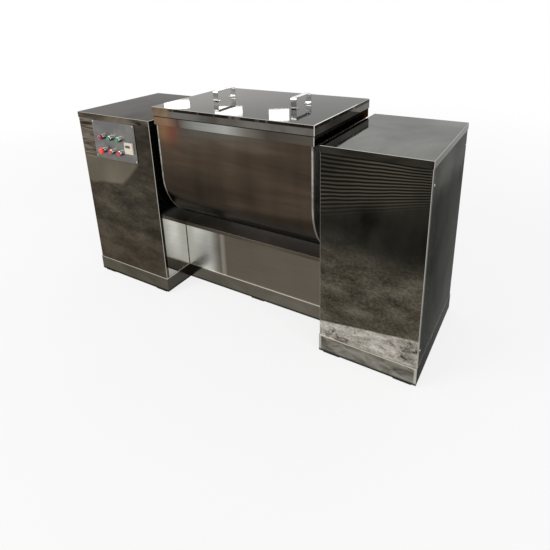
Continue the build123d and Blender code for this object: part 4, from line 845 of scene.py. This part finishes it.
# Shaft glands: stepped rings on the inside of both trough ends, with a clear running gap round the shaft
GLAND_BORE = 0.0309
GLAND_HUB = 0.040
GLAND_FLANGE = 0.009
GLAND_REACH = 0.016
GLAND_STEPS = 64
EDGE_BREAK = 0.0008
low, high = (Vector(corner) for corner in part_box("shaft_glands"))
gland_outer = (high.z - low.z) / 2
gland_middle = (low + high) / 2
gland_profile = [
    (GLAND_BORE, 0), (gland_outer, 0), (gland_outer, GLAND_FLANGE - EDGE_BREAK),
    (gland_outer - EDGE_BREAK, GLAND_FLANGE), (GLAND_HUB, GLAND_FLANGE),
    (GLAND_HUB, GLAND_REACH - EDGE_BREAK), (GLAND_HUB - EDGE_BREAK, GLAND_REACH),
    (GLAND_BORE + EDGE_BREAK, GLAND_REACH), (GLAND_BORE, GLAND_REACH - EDGE_BREAK), (GLAND_BORE, 0)]
glands = [turned("gland", Vector((wall_x, gland_middle.y, gland_middle.z)), Vector((inward, 0, 0)),
                 gland_profile, GLAND_STEPS) for wall_x, inward in ((low.x, 1), (high.x, -1))]
gland_rings = joined("gland_rings", glands)
keep(gland_rings, machined, "trough")
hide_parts("shaft_glands")

# Signal lamp: a round lens that sits over its ring, with a neck in the ring's bore
LENS_RADIUS = 0.0154
LENS_NECK = RING_BORE - 0.0004
LENS_BACK = 0.0092
LENS_SEAT = 0.0142
LENS_WALL = 0.0225
LENS_TIP = 0.0310
lens = turned("lamp_lens", front_middle("power_lamp"), FRONT, [
    (0, LENS_BACK), (LENS_NECK, LENS_BACK), (LENS_NECK, LENS_SEAT), (LENS_RADIUS, LENS_SEAT)]
    + crown(LENS_RADIUS, LENS_WALL, LENS_TIP))
keep(lens, lamp_glass, "frame")
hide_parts("power_lamp")

# Lid: folded pan with a deep skirt, laid over the stiffener of the trough
SHEET = 0.002
FOLD = 0.003
# The fold's round, in shares of it: how far below the top, how far in from the side
FOLD_ROUND = [(1, 0), (0.55, 0.08), (0.2, 0.35), (0, 1)]
CORNER = 0.005
SKIRT_BOTTOM = 1.030
low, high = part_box("lid")
mesh = bmesh.new()
outside = [(SKIRT_BOTTOM, 0)] + [(LID_TOP - FOLD * below, FOLD * inward) for below, inward in FOLD_ROUND]
outer = [rim_loop(mesh, low, high, level, (inset, inset), CORNER - inset) for level, inset in outside]
inner = [rim_loop(mesh, low, high, level, (SHEET, SHEET), CORNER - SHEET)
         for level in (LID_TOP - SHEET, SKIRT_BOTTOM)]
band(mesh, outer)
mesh.faces.new(outer[-1])
band(mesh, inner)
mesh.faces.new(inner[0])
band(mesh, [inner[-1], outer[0]])
bmesh.ops.recalc_face_normals(mesh, faces=mesh.faces)
lid_pan = piece_from("lid_pan", mesh)
keep(lid_pan, lid_skin, "lid", smooth=False)
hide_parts("lid")

# Stiffener round the mouth of the trough: a folded channel whose lips meet the trough sheet
BAND_BOTTOM = 0.985
BAND_SHEET = 0.003
BAND_BREAK = 0.001
LIP_CORNER = 0.001
low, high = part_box("trough_rim")
top = high[2]
lip = (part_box("trough_left_end")[0][0] - low[0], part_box("trough_shell")[0][1] - low[1])
slant = (BAND_BREAK, BAND_BREAK)
wall = (BAND_SHEET, BAND_SHEET)
mesh = bmesh.new()
loops = [rim_loop(mesh, low, high, level, inset, radius) for level, inset, radius in (
    (BAND_BOTTOM, lip, LIP_CORNER), (BAND_BOTTOM, slant, CORNER - BAND_BREAK),
    (BAND_BOTTOM + BAND_BREAK, (0, 0), CORNER), (top - BAND_BREAK, (0, 0), CORNER),
    (top, slant, CORNER - BAND_BREAK), (top, lip, LIP_CORNER),
    (top - BAND_SHEET, lip, LIP_CORNER), (top - BAND_SHEET, wall, CORNER - BAND_SHEET),
    (BAND_BOTTOM + BAND_SHEET, wall, CORNER - BAND_SHEET), (BAND_BOTTOM + BAND_SHEET, lip, LIP_CORNER))]
band(mesh, loops + loops[:1])
bmesh.ops.recalc_face_normals(mesh, faces=mesh.faces)
rim_band = piece_from("rim_band", mesh)
keep(rim_band, rim_skin, "trough", smooth=False)
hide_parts("trough_rim")

# Emergency stop: a smooth mushroom head that narrows underneath
HEAD_RIM = 0.42
# Its underside, in shares of its radius and of its height
HEAD_UNDER = [(0, 0), (0.62, 0), (0.94, 0.12)]
low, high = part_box("estop_head")
head_radius = (high[0] - low[0]) / 2
head_reach = high[1] - low[1]
head_centre = Vector(((low[0] + high[0]) / 2, high[1], (low[2] + high[2]) / 2))
mushroom = turned("mushroom_head", head_centre, FRONT, [
    (head_radius * share, head_reach * height) for share, height in HEAD_UNDER]
    + crown(head_radius, head_reach * HEAD_RIM, head_reach))
keep(mushroom, mushroom_red, "estop_head")
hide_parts("estop_head")

# Timer window: a thin slab with round corners, laid on the face of the timer
WINDOW = (0.035, 0.014)
WINDOW_SHIFT = (-0.0045, 0.010)
WINDOW_DEPTH = 0.0006
WINDOW_CORNER = 0.0015
# Its front edge, in shares of its depth and of its outline
WINDOW_EDGE = [(0, 1.0), (0.7, 1.0), (1, 0.97)]
timer_low, timer_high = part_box("timer")
window_x = (timer_low[0] + timer_high[0]) / 2 + WINDOW_SHIFT[0]
window_z = (timer_low[2] + timer_high[2]) / 2 + WINDOW_SHIFT[1]
mesh = bmesh.new()
loops = [[mesh.verts.new((window_x + x * share, timer_low[1] - WINDOW_DEPTH * out, window_z + z * share))
          for x, z in rounded(*WINDOW, WINDOW_CORNER, CORNER_STEPS)] for out, share in WINDOW_EDGE]
mesh.faces.new(loops[0])
mesh.faces.new(reversed(loops[-1]))
band(mesh, loops)
bmesh.ops.recalc_face_normals(mesh, faces=mesh.faces)
window = piece_from("timer_window", mesh)
keep(window, window_black, "frame", smooth=False)


def clusters(node, reach):
    """Boxes of the separate small solids of a node, found by walking through near points."""
    left = [vertex.co.copy() for vertex in nodes[node].data.vertices]
    groups = []
    while left:
        group = [left.pop()]
        for point in group:
            near = [other for other in left if (other - point).length < reach]
            for other in near:
                left.remove(other)
            group.extend(near)
        groups.append(tuple(Vector([pick(point[axis] for point in group) for axis in range(3)])
                            for pick in (min, max)))
    return groups


# Panel screws: domed heads, seated where the plain heads are
SCREW_REACH = 0.02
SCREW_STEPS = 24
SCREW_CROWN_STEPS = 5
SCREW_BACK = 0.02
screws = []
for low, high in clusters("panel_screws", SCREW_REACH):
    size = high - low
    centre = (low + high) / 2
    thin = min(range(3), key=lambda axis: size[axis])
    outward = Vector([math.copysign(1, centre[axis]) if axis == thin else 0 for axis in range(3)])
    radius = max(size) / 2
    height = size[thin]
    back = height * SCREW_BACK
    profile = [(0, back), (radius, back)] + crown(radius, 0, height, SCREW_CROWN_STEPS)
    screws.append(turned("screw", centre - outward * height / 2, outward, profile, SCREW_STEPS))
screw_heads = joined("screw_heads", screws)
keep(screw_heads, bolts, "frame")
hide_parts("panel_screws")


# Camera
camera_data = bpy.data.cameras.new("camera")
camera_data.lens = LENS
camera_data.sensor_width = SENSOR
camera_data.shift_x = SHIFT_X
camera_data.shift_y = SHIFT_Y
camera_data.clip_start = 0.05
camera_data.clip_end = 200
camera = bpy.data.objects.new("camera", camera_data)
bpy.context.scene.collection.objects.link(camera)
back = CAMERA_RIGHT.cross(CAMERA_UP)
turn = Matrix((CAMERA_RIGHT, CAMERA_UP, back)).transposed()
camera.matrix_world = Matrix.Translation(CAMERA_PLACE) @ turn.to_4x4()
bpy.context.scene.camera = camera


def seen(tree):
    """1 for rays that look at the background, straight or in metal or glass."""
    path = tree.nodes.new("ShaderNodeLightPath")
    value = path.outputs["Is Camera Ray"]
    for other in ("Is Glossy Ray", "Is Transmission Ray"):
        node = tree.nodes.new("ShaderNodeMath")
        node.operation = "MAXIMUM"
        tree.links.new(value, node.inputs[0])
        tree.links.new(path.outputs[other], node.inputs[1])
        value = node.outputs[0]
    return value


def studio():
    """White sky and a pale floor that keeps the shadow."""
    world = bpy.data.worlds.new("studio")
    world.use_nodes = True
    bpy.context.scene.world = world
    tree = world.node_tree
    background = tree.nodes["Background"]
    background.inputs["Color"].default_value = (1, 1, 1, 1)
    level = tree.nodes.new("ShaderNodeMapRange")
    tree.links.new(seen(tree), level.inputs["Value"])
    level.inputs["To Min"].default_value = SKY_GIVEN
    level.inputs["To Max"].default_value = SKY_SEEN
    tree.links.new(level.outputs["Result"], background.inputs["Strength"])

    mesh = bmesh.new()
    bmesh.ops.create_grid(mesh, x_segments=1, y_segments=1, size=FLOOR_HALF)
    floor = piece_from("floor", mesh)
    finish = Finish("studio_floor", roughness=0.9)
    finish.colour(finish.pair(finish.noise(1.2, 3.0), srgb(236, 236, 235), srgb(240, 240, 239)))
    glow = finish.add("ShaderNodeEmission")
    mixed = finish.add("ShaderNodeMixShader")
    away = finish.add("ShaderNodeVectorMath", operation="LENGTH")
    finish.join(finish.place, away.inputs[0])
    fade = finish.span(away.outputs["Value"], *FLOOR_FADE)
    glow_share = finish.plus(FLOOR_GLOW, finish.times(fade, 1 - FLOOR_GLOW))
    share = finish.times(seen(finish.tree), glow_share)
    finish.join(share, mixed.inputs[0])
    finish.join(finish.shader.outputs[0], mixed.inputs[1])
    finish.join(glow.outputs[0], mixed.inputs[2])
    finish.join(mixed.outputs[0], finish.tree.nodes["Material Output"].inputs["Surface"])
    floor.data.materials.append(finish.material)


def lamp(name, place, target, width, height, power):
    """A soft box that faces a point."""
    data = bpy.data.lights.new(name, "AREA")
    data.shape = "RECTANGLE"
    data.size = width
    data.size_y = height
    data.energy = power
    light = bpy.data.objects.new(name, data)
    bpy.context.scene.collection.objects.link(light)
    light.location = place
    light.rotation_mode = "QUATERNION"
    light.rotation_quaternion = (Vector(target) - Vector(place)).to_track_quat("-Z", "Y")
    light.visible_camera = False


def window_light(name, spot, width, height):
    """A window whose mirror image, seen from the camera's place, falls on a spot of the lid."""
    spot = Vector((*spot, LID_TOP))
    line = spot - CAMERA_PLACE
    line.z = -line.z
    lamp(name, spot + line, spot, width, height, WINDOW_GLOW * math.pi * width * height)


studio()
for name, place, width, height, power in LAMPS:
    lamp(name, place, LAMP_TARGET, width, height, power)
for name, spot, width, height in WINDOWS:
    window_light(name, spot, width, height)

bpy.context.scene.view_settings.view_transform = "Standard"
